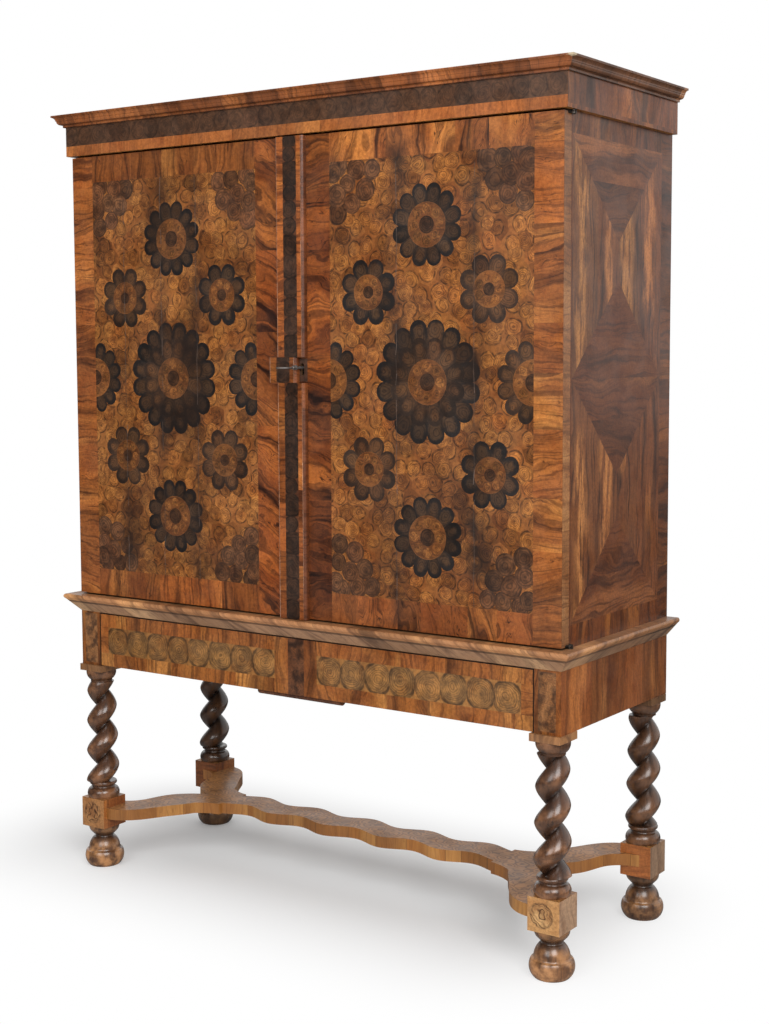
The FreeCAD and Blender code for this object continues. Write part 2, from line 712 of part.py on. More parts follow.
INSIDE = (FRAME_BACK, "back_plane - board")
running_parts = []
for sign in (-1, 1):
    bearing = slab(sides(sign, "drawer_box_half - runner_bearing", "stand_half - board"), INSIDE,
                   ("drawer_foot", "drawer_side_foot - runner_gap"))
    guide = slab(sides(sign, "drawer_box_half + drawer_play", "stand_half - board"), INSIDE,
                 ("drawer_side_foot - runner_gap", "drawer_side_foot + board"))
    kicker = slab(sides(sign, "drawer_box_half - runner_bearing", "stand_half - board"), INSIDE,
                  ("drawer_side_head + drawer_gap", "stand_under_top"))
    running_parts.extend([bearing, guide, kicker])
keep(group(*running_parts), "drawer_runners")

keep(slab(("-drawer_half", "drawer_half"), ("stand_front", "drawer_box_front"),
          ("drawer_foot", "drawer_head")), "drawer_front")
BOX_INNER = "drawer_box_half - drawer_side_thick"
for name, sign in (("left", -1), ("right", 1)):
    keep(slab(sides(sign, BOX_INNER, "drawer_box_half"), ("drawer_box_front", "drawer_box_back"),
              ("drawer_side_foot", "drawer_side_head")), "drawer_side_" + name)
BOX_SPAN = ("-(%s)" % BOX_INNER, BOX_INNER)
BACK_OF_BOX = "drawer_box_back - drawer_side_thick"
keep(slab(BOX_SPAN, (BACK_OF_BOX, "drawer_box_back"),
          ("drawer_side_foot", "drawer_side_head - drawer_back_drop")), "drawer_back")
BOTTOM_FOOT = "drawer_side_foot + drawer_bottom_lift"
keep(slab(BOX_SPAN, ("drawer_box_front", BACK_OF_BOX), (BOTTOM_FOOT, BOTTOM_FOOT + " + drawer_bottom_thick")),
     "drawer_bottom")


def finger_grip():
    """A half-round rail under the drawer front."""
    body = new_body("drawer_grip")
    face = "stand_front + grip_setback"
    path = [
        (face, "drawer_foot"),
        (face, "drawer_foot - 0.4 * grip_height"),
        (face + " + 0.5 * grip_depth", "drawer_foot - grip_height", face + " + grip_depth",
         "drawer_foot - 0.4 * grip_height"),
        (face + " + grip_depth", "drawer_foot"),
    ]
    pad(body, outline(body, "YZ_Plane", path, "-grip_length / 2"), "grip_length")
    return keep(body, "drawer_grip")


finger_grip()

# ---- Case ----------------------------------------------------------------------------------------


def pivot_plate(sign, end, ys, reach, thick_zs, hole, pin=None):
    """An iron plate whose round ear stands on the pivot's axis, with an eye or a pin there."""
    axis_x = "%spivot_x" % ("" if sign > 0 else "-")
    tongue = slab(sides(sign, reach[0], reach[1]), ys, thick_zs)
    thick = "(%s) - (%s)" % (thick_zs[1], thick_zs[0])
    ear = rod("eye_radius", thick, axis_x, "case_front", thick_zs[0])
    neck = slab(sides(sign, "pivot_x - 2 * eye_radius", "pivot_x"), end, thick_zs)
    plate = joined(tongue, ear, neck)
    if hole:
        return cut(plate, rod("pin_radius + pin_clearance", thick, axis_x, "case_front", thick_zs[0]))
    return joined(plate, rod("pin_radius", "(%s) - (%s)" % (pin[1], pin[0]), axis_x, "case_front", pin[0]))


LOW_CASE_PLATE = ("case_foot", "case_foot + case_plate_thick")
HIGH_CASE_PLATE = ("case_top - case_plate_thick", "case_top")
LOW_DOOR_PLATE = ("door_foot", "door_foot + door_plate_thick")
HIGH_DOOR_PLATE = ("door_head - door_plate_thick", "door_head")
LOW_PIN = ("case_foot", "door_foot + door_plate_thick + pin_end")
HIGH_PIN = ("door_head - door_plate_thick - pin_end", "case_top")


def case_plates(sign):
    """The plates let into the lower and upper ends of a case side."""
    reach = ("case_half - case_plate_inset - case_plate_width", "case_half - case_plate_inset")
    back = ("case_front", "case_front + case_plate_length")
    near = ("case_front - 0.5 * eye_radius", "case_front + eye_radius")
    return [pivot_plate(sign, near, back, reach, zs, False, pin)
            for zs, pin in ((LOW_CASE_PLATE, LOW_PIN), (HIGH_CASE_PLATE, HIGH_PIN))]


def door_plates(sign):
    """The plates let into the lower and upper edges of a door."""
    reach = ("case_half - plate_length", "pivot_x - pin_radius")
    strip = ("door_back - plate_inset - plate_width", "door_back - plate_inset")
    near = ("door_back - eye_radius", "door_back")
    return [pivot_plate(sign, near, strip, reach, zs, True) for zs in (LOW_DOOR_PLATE, HIGH_DOOR_PLATE)]


for name, sign in (("left", -1), ("right", 1)):
    axis_x = "%spivot_x" % ("" if sign > 0 else "-")
    room = "door_plate_thick + door_gap - case_plate_thick + eye_clearance"
    notch_radius = "eye_radius + eye_clearance"
    low_notch = rod(notch_radius, room, axis_x, "case_front", "case_foot + case_plate_thick")
    high_notch = rod(notch_radius, room, axis_x, "case_front", "case_top - case_plate_thick - (%s)" % room)
    board = slab(sides(sign, "case_inner", "case_half"), ("case_front", "back_plane"),
                 ("case_foot", "case_top"))
    keep(cut(board, low_notch, high_notch, *case_plates(sign)), "case_side_" + name)
keep(group(*case_plates(-1), *case_plates(1)), "case_pivots")

INNER_SPAN = ("-case_inner", "case_inner")
UP_TO_BACK = ("case_front", "back_front")
BOLT_ROOM = "door_bolt / 2 + slot_gap"
BOLT_XS = ("-door_bolt_x - (%s)" % BOLT_ROOM, "-door_bolt_x + " + BOLT_ROOM)
BOLT_YS = ("door_bolt_y - (%s)" % BOLT_ROOM, "door_bolt_y + " + BOLT_ROOM)
BOLT_DEPTH = "door_bolt_throw - door_bolt_rest + 2"
ceiling = slab(INNER_SPAN, UP_TO_BACK, ("case_ceiling", "case_top"))
keep(cut(ceiling, slab(BOLT_XS, BOLT_YS, ("case_ceiling", "case_ceiling + " + BOLT_DEPTH))), "case_top_board")
floor = slab(INNER_SPAN, UP_TO_BACK, ("case_foot", "case_floor"))
keep(cut(floor, slab(BOLT_XS, BOLT_YS, ("case_floor - (%s)" % BOLT_DEPTH, "case_floor"))),
     "case_bottom_board")

back_boards = []
board_count = round(size("back_board_count"))
for number in range(board_count):
    pitch = "2 * case_inner / back_board_count"
    low = "-case_inner + %d * %s" % (number, pitch)
    back_boards.append(slab((low, "%s + %s - back_gap" % (low, pitch)), ("back_front", "back_plane"),
                            ("case_foot", "case_top")))
keep(group(*back_boards), "case_back_boards")

shelves = []
bearers = []
for level in ("shelf_low", "shelf_high"):
    under = "case_floor + " + level
    shelves.append(slab(("back_gap - case_inner", "case_inner - back_gap"),
                        ("case_front + shelf_setback", "back_front"), (under, under + " + shelf_thick")))
    for sign in (-1, 1):
        bearers.append(slab(sides(sign, "case_inner - bearer", "case_inner"),
                            ("case_front + 2 * shelf_setback", "back_front"), (under + " - bearer", under)))
keep(group(*shelves), "shelves")
keep(group(*bearers), "shelf_bearers")

# ---- Doors ---------------------------------------------------------------------------------------


def keyhole(ys):
    """A keyhole right through: round at both ends, for the shank above and the bit below."""
    head = "key_z + keyhole_above - keyhole_radius"
    toe = "key_z + keyhole_above - keyhole_height + keyhole_radius"
    length = "(%s) - (%s)" % (ys[1], ys[0])
    ends = [rod("keyhole_radius", length, "key_x", ys[0], z, -90) for z in (head, toe)]
    middle = slab(("key_x - keyhole_radius", "key_x + keyhole_radius"), ys, (toe, head))
    return joined(middle, *ends)


def veneer_pieces(sign, face):
    """The field of a door and the four crossbands round it."""
    ys = (face, face + " + veneer")
    outer = sides(sign, "case_half - outer_band", "case_half")
    field = sides(sign, "parting + inner_band", "case_half - outer_band")
    inner = sides(sign, "parting", "parting + inner_band")
    low, high = "door_foot + bottom_band", "door_head - top_band"
    return [slab(field, ys, (low, high)), slab(outer, ys, (low, high)), slab(inner, ys, (low, high)),
            slab(sides(sign, "parting", "case_half"), ys, ("door_foot", low)),
            slab(sides(sign, "parting", "case_half"), ys, (high, "door_head"))]


def door_board(sign, face):
    return slab(sides(sign, "parting", "case_half"), (face + " + veneer", "door_back"),
                ("door_foot", "door_head"))


mortise = slab(("-parting - lock_bolt_throw - 3", "-parting"),
               ("lock_bolt_front - slot_gap", "lock_bolt_back + slot_gap"),
               ("lock_bolt_z - lock_bolt_height / 2 - slot_gap",
                "lock_bolt_z + lock_bolt_height / 2 + slot_gap"))
keep(cut(door_board(-1, "left_door_face"), mortise, *door_plates(-1)), "left_door_board")
keep(group(*veneer_pieces(-1, "left_door_face")), "left_door_marquetry")
keep(group(*door_plates(-1)), "left_door_pivots")

LOCK_ZS = ("lock_head - lock_height", "lock_head")
lock_bed = slab(("parting", "parting + lock_width"), ("lock_front", "door_back"), LOCK_ZS)
keep(cut(door_board(1, "door_face"), lock_bed, keyhole(("door_face + veneer", "lock_front")),
         *door_plates(1)), "right_door_board")
PLATE_XS = ("key_x - 0.55 * key_plate_width", "key_x + 0.45 * key_plate_width")
PLATE_ZS = ("(cover_foot + cover_head - key_plate_height) / 2",
            "(cover_foot + cover_head + key_plate_height) / 2")
PLATE_YS = ("door_face", "door_face + veneer")
veneers = veneer_pieces(1, "door_face")
veneers[2] = cut(veneers[2], slab(PLATE_XS, PLATE_YS, PLATE_ZS))
keep(group(*veneers), "right_door_marquetry")
keep(group(*door_plates(1)), "right_door_pivots")
keep(cut(slab(PLATE_XS, PLATE_YS, PLATE_ZS), keyhole(PLATE_YS)), "keyhole_plate")


def astragal_section(name, xs, zs, thick_from):
    """A length of the strip: flat, with its right front edge rounded."""
    body = new_body(name)
    path = [
        (xs[0], "strip_face"),
        (xs[1] + " - strip_round", "strip_face"),
        (xs[1] + " - 0.293 * strip_round", "strip_face + 0.293 * strip_round", xs[1],
         "strip_face + strip_round"),
        (xs[1], thick_from),
        (xs[0], thick_from),
    ]
    pad(body, outline(body, "XY_Plane", path, zs[0]), "(%s) - (%s)" % (zs[1], zs[0]))
    return body


STRIP_XS = ("-strip_left", "strip_right")
TONGUE_YS = ("tongue_face", "tongue_face + tongue_thick")
GROOVE_YS = ("tongue_face - tongue_gap", "tongue_face + tongue_thick + tongue_gap")
GROOVE_XS = ("-strip_left", "strip_right - tongue_inset + cover_gap")
strip_low = astragal_section("strip_low", STRIP_XS, ("case_foot + strip_foot_gap", "cover_foot - cover_gap"),
                             "door_face")
strip_high = astragal_section("strip_high", STRIP_XS, ("cover_head + cover_gap", "door_head"), "door_face")
low_groove = slab(GROOVE_XS, GROOVE_YS,
                  ("cover_foot - tongue_height - tongue_gap", "cover_foot - cover_gap"))
high_groove = slab(GROOVE_XS, GROOVE_YS,
                   ("cover_head + cover_gap", "cover_head + tongue_height + tongue_gap"))
keep(group(cut(strip_low, low_groove), cut(strip_high, high_groove)), "astragal")

COVER_XS = ("-strip_left - cover_open", "strip_right - cover_open")
cover_body = astragal_section("cover", COVER_XS, ("cover_foot", "cover_head"), "door_face - tongue_gap")
tongues = slab((COVER_XS[0] + " + tongue_inset", COVER_XS[1] + " - tongue_inset"), TONGUE_YS,
               ("cover_foot - tongue_height", "cover_head + tongue_height"))
keep(joined(cover_body, tongues), "keyhole_cover")

# ---- Lock, key and bolts -------------------------------------------------------------------------

lock_box = slab(("parting", "parting + lock_width"), ("lock_front", "door_back"), LOCK_ZS)
lock_room = slab(("parting + lock_wall", "parting + lock_width - lock_wall"),
                 ("lock_front + lock_wall", "lock_back"),
                 ("lock_head - lock_height + lock_wall", "lock_head - lock_wall"))
bolt_slot = slab(("parting", "parting + lock_wall"),
                 ("lock_bolt_front - slot_gap", "lock_bolt_back + slot_gap"),
                 ("lock_bolt_z - lock_bolt_height / 2 - slot_gap",
                  "lock_bolt_z + lock_bolt_height / 2 + slot_gap"))
keep(cut(lock_box, lock_room, bolt_slot, keyhole(("lock_front", "lock_front + lock_wall"))), "lock_case")
keep(slab(("parting", "parting + lock_bolt_length"), ("lock_bolt_front", "lock_bolt_back"),
          ("lock_bolt_z - lock_bolt_height / 2", "lock_bolt_z + lock_bolt_height / 2")), "lock_bolt")
PIN_LENGTH = "lock_back - pin_clearance - (key_tip_y - lock_pin_in)"
keep(rod("lock_pin_radius", PIN_LENGTH, "key_x", "key_tip_y - lock_pin_in", "key_z", -90), "lock_pin")


def key_piece():
    """Shank with a collar, a ring bow lying flat, a bit hanging down, a hole up the tip."""
    shank_length = "(key_tip_y - key_end - 2 * key_bow_radius - key_bow_thick)"
    collar = "(key_tip + key_collar_out)"
    shank = turned("key_shank", [
        ("0", "0"),
        ("key_radius", "0"),
        ("key_radius", collar),
        ("key_collar_radius", collar + " + 0.1 * key_collar_length"),
        ("key_collar_radius", collar + " + 0.4 * key_collar_length"),
        ("1.3 * key_radius", collar + " + 0.55 * key_collar_length"),
        ("1.45 * key_radius", collar + " + 0.85 * key_collar_length"),
        ("0.9 * key_radius", collar + " + key_collar_length"),
        ("0.6 * key_radius", shank_length),
        ("0", shank_length),
    ])
    shank.Placement = FreeCAD.Placement(Vector(), FreeCAD.Rotation(Vector(1, 0, 0), 90))
    bind(shank, Placement__Base__x="key_x", Placement__Base__y="key_tip_y", Placement__Base__z="key_z")
    bow = doc.addObject("Part::Torus", "Bow")
    bind(bow, Radius1="key_bow_radius", Radius2="key_bow_thick")
    bind(bow, Placement__Base__x="key_x", Placement__Base__z="key_z",
         Placement__Base__y="key_end + key_bow_radius + key_bow_thick")
    bit = slab(("key_x - bit_thick / 2", "key_x + bit_thick / 2"),
               ("key_tip_y - bit_back - bit_length", "key_tip_y - bit_back"), ("key_z - bit_drop", "key_z"))
    pipe = rod("pipe_radius", "pipe_depth", "key_x", "key_tip_y - pipe_depth", "key_z", -90)
    return keep(cut(joined(shank, bow, bit), pipe), "key")


key_piece()


def iron_bolt(name, end, inward):
    """A square bolt with a knob; inward is -1 when the bolt hangs down from its end, 1 when it stands."""
    half = "door_bolt / 2"
    xs = ("-door_bolt_x - " + half, "-door_bolt_x + " + half)
    ys = ("door_bolt_y - " + half, "door_bolt_y + " + half)
    other = "%s %s door_bolt_length" % (end, "+" if inward > 0 else "-")
    low, high = (end, other) if inward > 0 else (other, end)
    bar = slab(xs, ys, (low, high))
    knob = rod("0.55 * door_bolt", "1.6 * door_bolt", "-door_bolt_x", "door_bolt_y",
               "(%s) / 2 + (%s) / 2" % (low, high), -90)
    return keep(joined(bar, knob), name)


def staple(z):
    """A block of iron on the door's back with a square hole for the bolt."""
    room, wall = "door_bolt / 2 + slot_gap", "staple_wall"
    outer = slab(("-door_bolt_x - (%s) - 2 * %s" % (room, wall), "-door_bolt_x + %s + 2 * %s" % (room, wall)),
                 ("door_back", "door_bolt_y + %s + %s" % (room, wall)),
                 (z + " - staple_height / 2", z + " + staple_height / 2"))
    hole = slab(("-door_bolt_x - (%s)" % room, "-door_bolt_x + " + room),
                ("door_bolt_y - (%s)" % room, "door_bolt_y + " + room),
                (z + " - staple_height / 2", z + " + staple_height / 2"))
    return cut(outer, hole)


HIGH_END = "case_ceiling - door_bolt_rest"
LOW_END = "case_floor + door_bolt_rest"
iron_bolt("left_bolt_top", HIGH_END, -1)
iron_bolt("left_bolt_bottom", LOW_END, 1)
staples = []
for end, inward in ((HIGH_END, "-"), (LOW_END, "+")):
    for along in ("(staple_end)", "(door_bolt_length - staple_end + door_bolt)"):
        staples.append(staple("%s %s %s" % (end, inward, along)))
keep(group(*staples), "left_bolt_staples")

# ---- Cornice -------------------------------------------------------------------------------------

FRIEZE_ZS = ("case_top", "frieze_head")
BEHIND_FRONT = "frieze_front + cornice_board"
frieze = [slab(("-frieze_half", "frieze_half"), ("frieze_front", BEHIND_FRONT), FRIEZE_ZS)]
for sign in (-1, 1):
    frieze.append(slab(sides(sign, "frieze_half - cornice_board", "frieze_half"),
                       (BEHIND_FRONT, "back_plane"), FRIEZE_ZS))
FRIEZE_INNER = ("cornice_board - frieze_half", "frieze_half - cornice_board")
frieze.append(slab(FRIEZE_INNER, ("back_plane - cornice_board", "back_plane"), FRIEZE_ZS))
keep(group(*frieze), "cornice_frieze")
keep(slab(FRIEZE_INNER, (BEHIND_FRONT, "back_plane - cornice_board"),
          ("frieze_head - dust_board_thick", "frieze_head")), "cornice_dust_board")

CROWN_PROFILE = [
    ("0", "frieze_head"),
    ("0.2 * crown_projection", "frieze_head"),
    ("0.2 * crown_projection", "frieze_head + 0.17 * crown_height"),
    ("0.28 * crown_projection", "frieze_head + 0.2 * crown_height"),
    ("0.54 * crown_projection", "frieze_head + 0.3 * crown_height", "0.63 * crown_projection",
     "frieze_head + 0.52 * crown_height"),
    ("0.69 * crown_projection", "frieze_head + 0.54 * crown_height"),
    ("0.77 * crown_projection", "frieze_head + 0.74 * crown_height", "crown_projection",
     "frieze_head + 0.85 * crown_height"),
    ("crown_projection", "crown_head"),
    ("0", "crown_head"),
]
for run in ("front", "left", "right"):
    moulding("crown_moulding_" + run, run, "frieze_half", "frieze_front", "crown_projection", CROWN_PROFILE)

# ---- Check and write -----------------------------------------------------------------------------

doc.recompute()
for item in doc.Objects:
    if "Invalid" in item.State or "Error" in item.State:
        raise RuntimeError("%s (%s) failed: %s" % (item.Name, item.Label, item.State))
for piece in pieces:
    if piece.Shape.isNull() or not piece.Shape.isValid() or piece.Shape.Volume <= 0:
        raise RuntimeError("%s has no valid solid" % piece.Label)

os.makedirs("parts", exist_ok=True)
for piece in pieces:
    piece.Shape.exportStep("parts/%s.step" % piece.Label)
print("%d nodes, %d solids" % (len(pieces), sum(len(piece.Shape.Solids) for piece in pieces)))
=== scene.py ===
import json
import random
from math import cos, dist, exp, pi, sin
from types import SimpleNamespace

import bmesh
import bpy
from mathutils import Matrix, Vector, noise
from mathutils.geometry import delaunay_2d_cdt


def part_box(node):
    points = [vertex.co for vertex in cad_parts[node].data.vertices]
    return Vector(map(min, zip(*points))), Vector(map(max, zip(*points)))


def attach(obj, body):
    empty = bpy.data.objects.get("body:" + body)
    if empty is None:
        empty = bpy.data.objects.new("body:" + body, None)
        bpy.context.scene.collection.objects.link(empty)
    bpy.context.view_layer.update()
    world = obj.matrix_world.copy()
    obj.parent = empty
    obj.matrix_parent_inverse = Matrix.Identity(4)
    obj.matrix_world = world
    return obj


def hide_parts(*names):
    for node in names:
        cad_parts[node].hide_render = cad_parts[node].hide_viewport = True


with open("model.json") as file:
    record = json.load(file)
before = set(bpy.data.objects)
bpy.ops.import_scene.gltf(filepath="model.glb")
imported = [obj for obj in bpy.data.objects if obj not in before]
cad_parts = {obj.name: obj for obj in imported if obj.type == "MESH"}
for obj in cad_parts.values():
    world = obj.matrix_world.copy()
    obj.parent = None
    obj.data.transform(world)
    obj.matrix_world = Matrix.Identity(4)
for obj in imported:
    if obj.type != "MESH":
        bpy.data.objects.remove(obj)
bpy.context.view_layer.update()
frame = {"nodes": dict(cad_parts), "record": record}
nodes = frame["nodes"]
scene = bpy.context.scene
MM = 0.001


# How the finishes are wired

class Wire:
    """A value in the shader tree at hand. Sums and products of wires add the nodes that they need."""

    tree = None

    def __init__(self, socket):
        self.socket = socket

    __add__ = __radd__ = lambda self, other: maths("ADD", self, other)
    __mul__ = __rmul__ = lambda self, other: maths("MULTIPLY", self, other)
    __sub__ = lambda self, other: maths("SUBTRACT", self, other)
    __rsub__ = lambda self, other: maths("SUBTRACT", other, self)
    __pow__ = lambda self, other: maths("POWER", self, other)
    __abs__ = lambda self: maths("ABSOLUTE", self)


def colour(value):
    """A colour from red, green and blue on the 0 to 255 scale. A wire or four plain factors pass through."""
    if isinstance(value, Wire) or len(value) == 4:
        return value
    levels = [level / 255 for level in value]
    return (*(level / 12.92 if level <= 0.04045 else ((level + 0.055) / 1.055) ** 2.4 for level in levels), 1)


def placed(name, data):
    """A new object in the scene."""
    thing = bpy.data.objects.new(name, data)
    scene.collection.objects.link(thing)
    return thing


def feed(socket, value):
    if isinstance(value, Wire):
        Wire.tree.links.new(value.socket, socket)
    else:
        socket.default_value = value


def add(kind, feeds=(), **settings):
    """A new node of the tree at hand."""
    node = Wire.tree.nodes.new("ShaderNode" + kind)
    for name, value in settings.items():
        setattr(node, name, value)
    for socket, value in dict(feeds).items():
        feed(node.inputs[socket], value)
    return node


def wire(kind, feeds=(), out=0, **settings):
    """What one output of a new node gives."""
    return Wire(add(kind, feeds, **settings).outputs[out])


def maths(operation, first, second=0, clamp=False):
    return wire("Math", {0: first, 1: second}, operation=operation, use_clamp=clamp)


def step(value, low, high, start=0, end=1):
    """Eases from start to end while value goes from low to high."""
    feeds = {"Value": value, "From Min": low, "From Max": high, "To Min": start, "To Max": end}
    return wire("MapRange", feeds, interpolation_type="SMOOTHSTEP")


def stretch(place, scale):
    return wire("VectorMath", {0: place, 1: scale}, operation="MULTIPLY")


def shift(place, offset):
    return wire("VectorMath", {0: place, 1: offset}, operation="ADD")


def length(place):
    return wire("VectorMath", {0: place}, "Value", operation="LENGTH")


def join(x, y, z=0):
    return wire("CombineXYZ", {0: x, 1: y, 2: z})


def split(place):
    return [Wire(part) for part in add("SeparateXYZ", {0: place}).outputs]


def cloud(place, scale, detail=2, rough=0.5):
    return wire("TexNoise", {"Vector": place, "Scale": scale, "Detail": detail, "Roughness": rough})


def blend(amount, first, second, way="MIX"):
    feeds = {0: amount, 6: colour(first), 7: colour(second)}
    return wire("Mix", feeds, 2, data_type="RGBA", blend_type=way)


def shade(tint, level):
    """The tint made lighter or darker by a plain factor."""
    return blend(1, tint, join(level, level, level), "MULTIPLY")


def group(tree, **feeds):
    made = add("Group", feeds, node_tree=tree)
    return {socket.name: Wire(socket) for socket in made.outputs}


def effect(**inputs):
    """Makes a shader group of a function that turns a place and plain values into masks and measures."""
    def make(wiring):
        Wire.tree = tree = bpy.data.node_groups.new(wiring.__name__, "ShaderNodeTree")
        tree.interface.new_socket("Place", in_out="INPUT", socket_type="NodeSocketVector")
        for label, value in inputs.items():
            socket = tree.interface.new_socket(label, in_out="INPUT", socket_type="NodeSocketFloat")
            socket.default_value = value
        given = tree.nodes.new("NodeGroupInput").outputs
        results = wiring(*(Wire(given[label]) for label in ("Place", *inputs)))
        for label in results:
            tree.interface.new_socket(label, in_out="OUTPUT", socket_type="NodeSocketFloat")
        shown = tree.nodes.new("NodeGroupOutput").inputs
        for label, value in results.items():
            feed(shown[label], value)
        return tree
    return make


def seeded(place, seed):
    """Moves the figure of each leaf to a place of its own."""
    return shift(place, join(seed * 37, seed * 91, seed * 53))


@effect(Seed=0.5, Rings=6, Wander=0.55, Square=0)
def oyster_slice(place, seed, rings, wander, square):
    """Year rings of a branch cut across: place is 1 at the bark, and square makes the slice less round."""
    own = seeded(place, seed)
    drift = cloud(own, 1.1, 1) - 0.5
    fray = cloud(own, 4.5) - 0.5
    away = join(maths("SINE", seed * 77) * 0.24, maths("COSINE", seed * 77) * 0.24)
    x, y, _ = split(place)
    whole = length(place) * (1 - square) + (abs(x) ** 4 + abs(y) ** 4) ** 0.25 * square
    inner = length(wire("VectorMath", {0: place, 1: away}, operation="SUBTRACT"))
    radius = whole * 0.55 + inner * 0.45 + (drift * wander + fray * 0.10)
    turns = radius * rings
    uneven = wire("TexNoise", {"W": turns * 1.1 + seed * 60, "Scale": 1, "Detail": 2}, noise_dimensions="1D")
    wave = maths("SINE", turns * 6.283) * 0.5 + 0.5
    edge = whole + (drift * 0.16 + fray * 0.07)
    rim = step(edge, 0.76, 0.94) - step(edge, 0.96, 1.10)
    return {"Rings": step(wave * 0.6 + uneven * 0.9, 0.70, 1.12),
            "Rim": rim * step(cloud(own, 1.5, 1), 0.36, 0.62, 0.15, 1),
            "Outside": step(edge, 0.96, 1.04), "Heart": step(radius, 0, 0.30, 1, 0), "Edge": edge}


@effect(Seed=0.5, Wild=1)
def veneer_grain(place, seed, wild):
    """Figure of wood cut along its length: place is in metres, with x along the grain."""
    own = seeded(place, seed)
    bend = cloud(stretch(own, (5, 9, 5)), 1) - 0.5
    curl = cloud(stretch(own, (18, 42, 18)), 1) - 0.5
    x, y, z = split(own)
    across = y + (bend * 0.085 + curl * 0.016) * wild

    def streaks(along, wide, deep, detail, rough=0.5):
        return cloud(join(x * along, across * wide, z * deep), 1, detail, rough)

    broad = streaks(3, 26, 11, 4, 0.6)
    contour = step(abs(maths("SINE", broad * 44)), 0, 0.34, 1, 0)
    shown = step(cloud(stretch(own, (9, 30, 20)), 1), 0.44, 0.62)
    return {"Flame": step(broad, 0.48, 0.70), "Contour": contour * shown,
            "Lines": step(streaks(4, 130, 40, 3, 0.6), 0.47, 0.66),
            "Fibre": streaks(22, 620, 200, 1), "Sap": step(streaks(1.3, 8.5, 4, 2), 0.52, 0.66)}


@effect(Size=1)
def burr_figure(place, size):
    """Swirls and eyes of burr wood: place is in metres."""
    place = wire("VectorMath", {0: place, "Scale": size}, operation="SCALE")
    pull = wire("TexNoise", {"Vector": place, "Scale": 21, "Detail": 2}, "Color")
    bent = shift(place, stretch(shift(pull, (-0.5, -0.5, -0.5)), (0.035, 0.035, 0.035)))
    eye = wire("TexVoronoi", {"Vector": bent, "Scale": 26, "Randomness": 0.9}, "Distance")
    swirl = maths("SINE", eye * 24 + cloud(bent, 34) * 4)
    return {"Swirl": step(swirl, -0.4, 1), "Eyes": step(eye, 0.05, 0.24, 1, 0),
            "Patch": step(cloud(bent, 14, 3), 0.42, 0.66)}


@effect(Dullest=0.45, Glossiest=0.27)
def old_polish(place, dullest, glossiest):
    """Worn shellac: how rough it is, how its surface ripples and where grime sits, with place in metres."""
    speck = step(cloud(place, 260), 0.60, 0.75) * 0.5
    amount = maths("ADD", step(cloud(place, 9, 4, 0.6), 0.35, 0.65), speck, True)
    return {"Roughness": glossiest + (dullest - glossiest) * amount,
            "Height": cloud(place, 16) + cloud(place, 90) * 0.16,
            "Grime": step(cloud(place, 5, 5, 0.65), 0.46, 0.72)}


# The finishes of the veneer

FINISHES = {}
RIPPLE = 0.35
SMOKE = (40, 29, 24)
WARMED, REDDENED = (1.10, 0.80, 0.62, 1), (0.75, 0.64, 0.55, 1)


def start(name):
    """Starts a finish, whose tree is the one at hand from here on, and gives a point's place in metres."""
    material = FINISHES[name] = bpy.data.materials.new(name)
    material.use_nodes = True
    Wire.tree = material.node_tree
    spot = split(wire("TexCoord", out="Object"))
    return spot, join(*spot)


def feed_shader(**feeds):
    """Feeds the main shader of the finish at hand."""
    for label, value in feeds.items():
        feed(Wire.tree.nodes["Principled BSDF"].inputs[label.replace("_", " ")], value)


def finished(tint, place, height, dull=0.46, gloss=0.28, coat=0.18, coat_rough=0.16, relief=0.0004):
    """Gives the finish at hand its tint, its polish and its relief."""
    polish = group(old_polish, Place=place, Dullest=dull, Glossiest=gloss)
    bump = wire("Bump", {"Strength": RIPPLE, "Distance": relief, "Height": polish["Height"] + height})
    feed_shader(Base_Color=tint, Roughness=polish["Roughness"], Normal=bump, Coat_Weight=coat,
                Coat_Roughness=coat_rough)


def in_order(spot, order):
    return [spot["xyz".index(axis)] for axis in order]


def dirtied(tint, place, amount, level):
    """Lets the grime of the old polish darken a tint."""
    grime = group(old_polish, Place=place)["Grime"]
    return blend(grime * amount, tint, (level, level, level, 1), "MULTIPLY")


def aged(tint, bright, warm, stain, place):
    """Brightens or darkens a leaf, warms it, and lets the smoky stains and the grime into it."""
    tint = shade(tint, bright * 0.85 + 0.57)
    tint = shade(tint, step(cloud(place, 170, 4, 0.75), 0.34, 0.64, 0.78, 1.14))
    tint = blend(warm * 0.6, tint, WARMED, "MULTIPLY")
    tint = blend(step(cloud(place, 15, 4, 0.66), 0.48, 0.64) * 0.7, tint, REDDENED, "MULTIPLY")
    deep = stain * step(cloud(place, 24, 4, 0.6), 0.30, 0.56, 0.35, 1.15)
    return dirtied(blend(maths("MULTIPLY", deep, 0.82, True), tint, SMOKE), place, 0.28, 0.55)


def leaf_finish(wiring, name, *tints, smoked=1, coat=0.18, **looks):
    """A finish for sheets, which tell for each leaf its figure's place, brightness, seed, warmth and stain."""
    _, place = start(name)
    tone_parts = add("SeparateColor", {0: wire("Attribute", out="Color", attribute_name="tone")}).outputs
    bright, seed, warm = (Wire(part) for part in tone_parts)
    stain = wire("Attribute", out="Fac", attribute_name="stain")
    leaf = SimpleNamespace(figure=wire("UVMap", uv_map="figure"), place=place, seed=seed, warm=warm)
    tint, height = wiring(leaf, *tints, **looks)
    finished(aged(tint, bright, warm, stain * smoked, place), place, height, coat=coat)


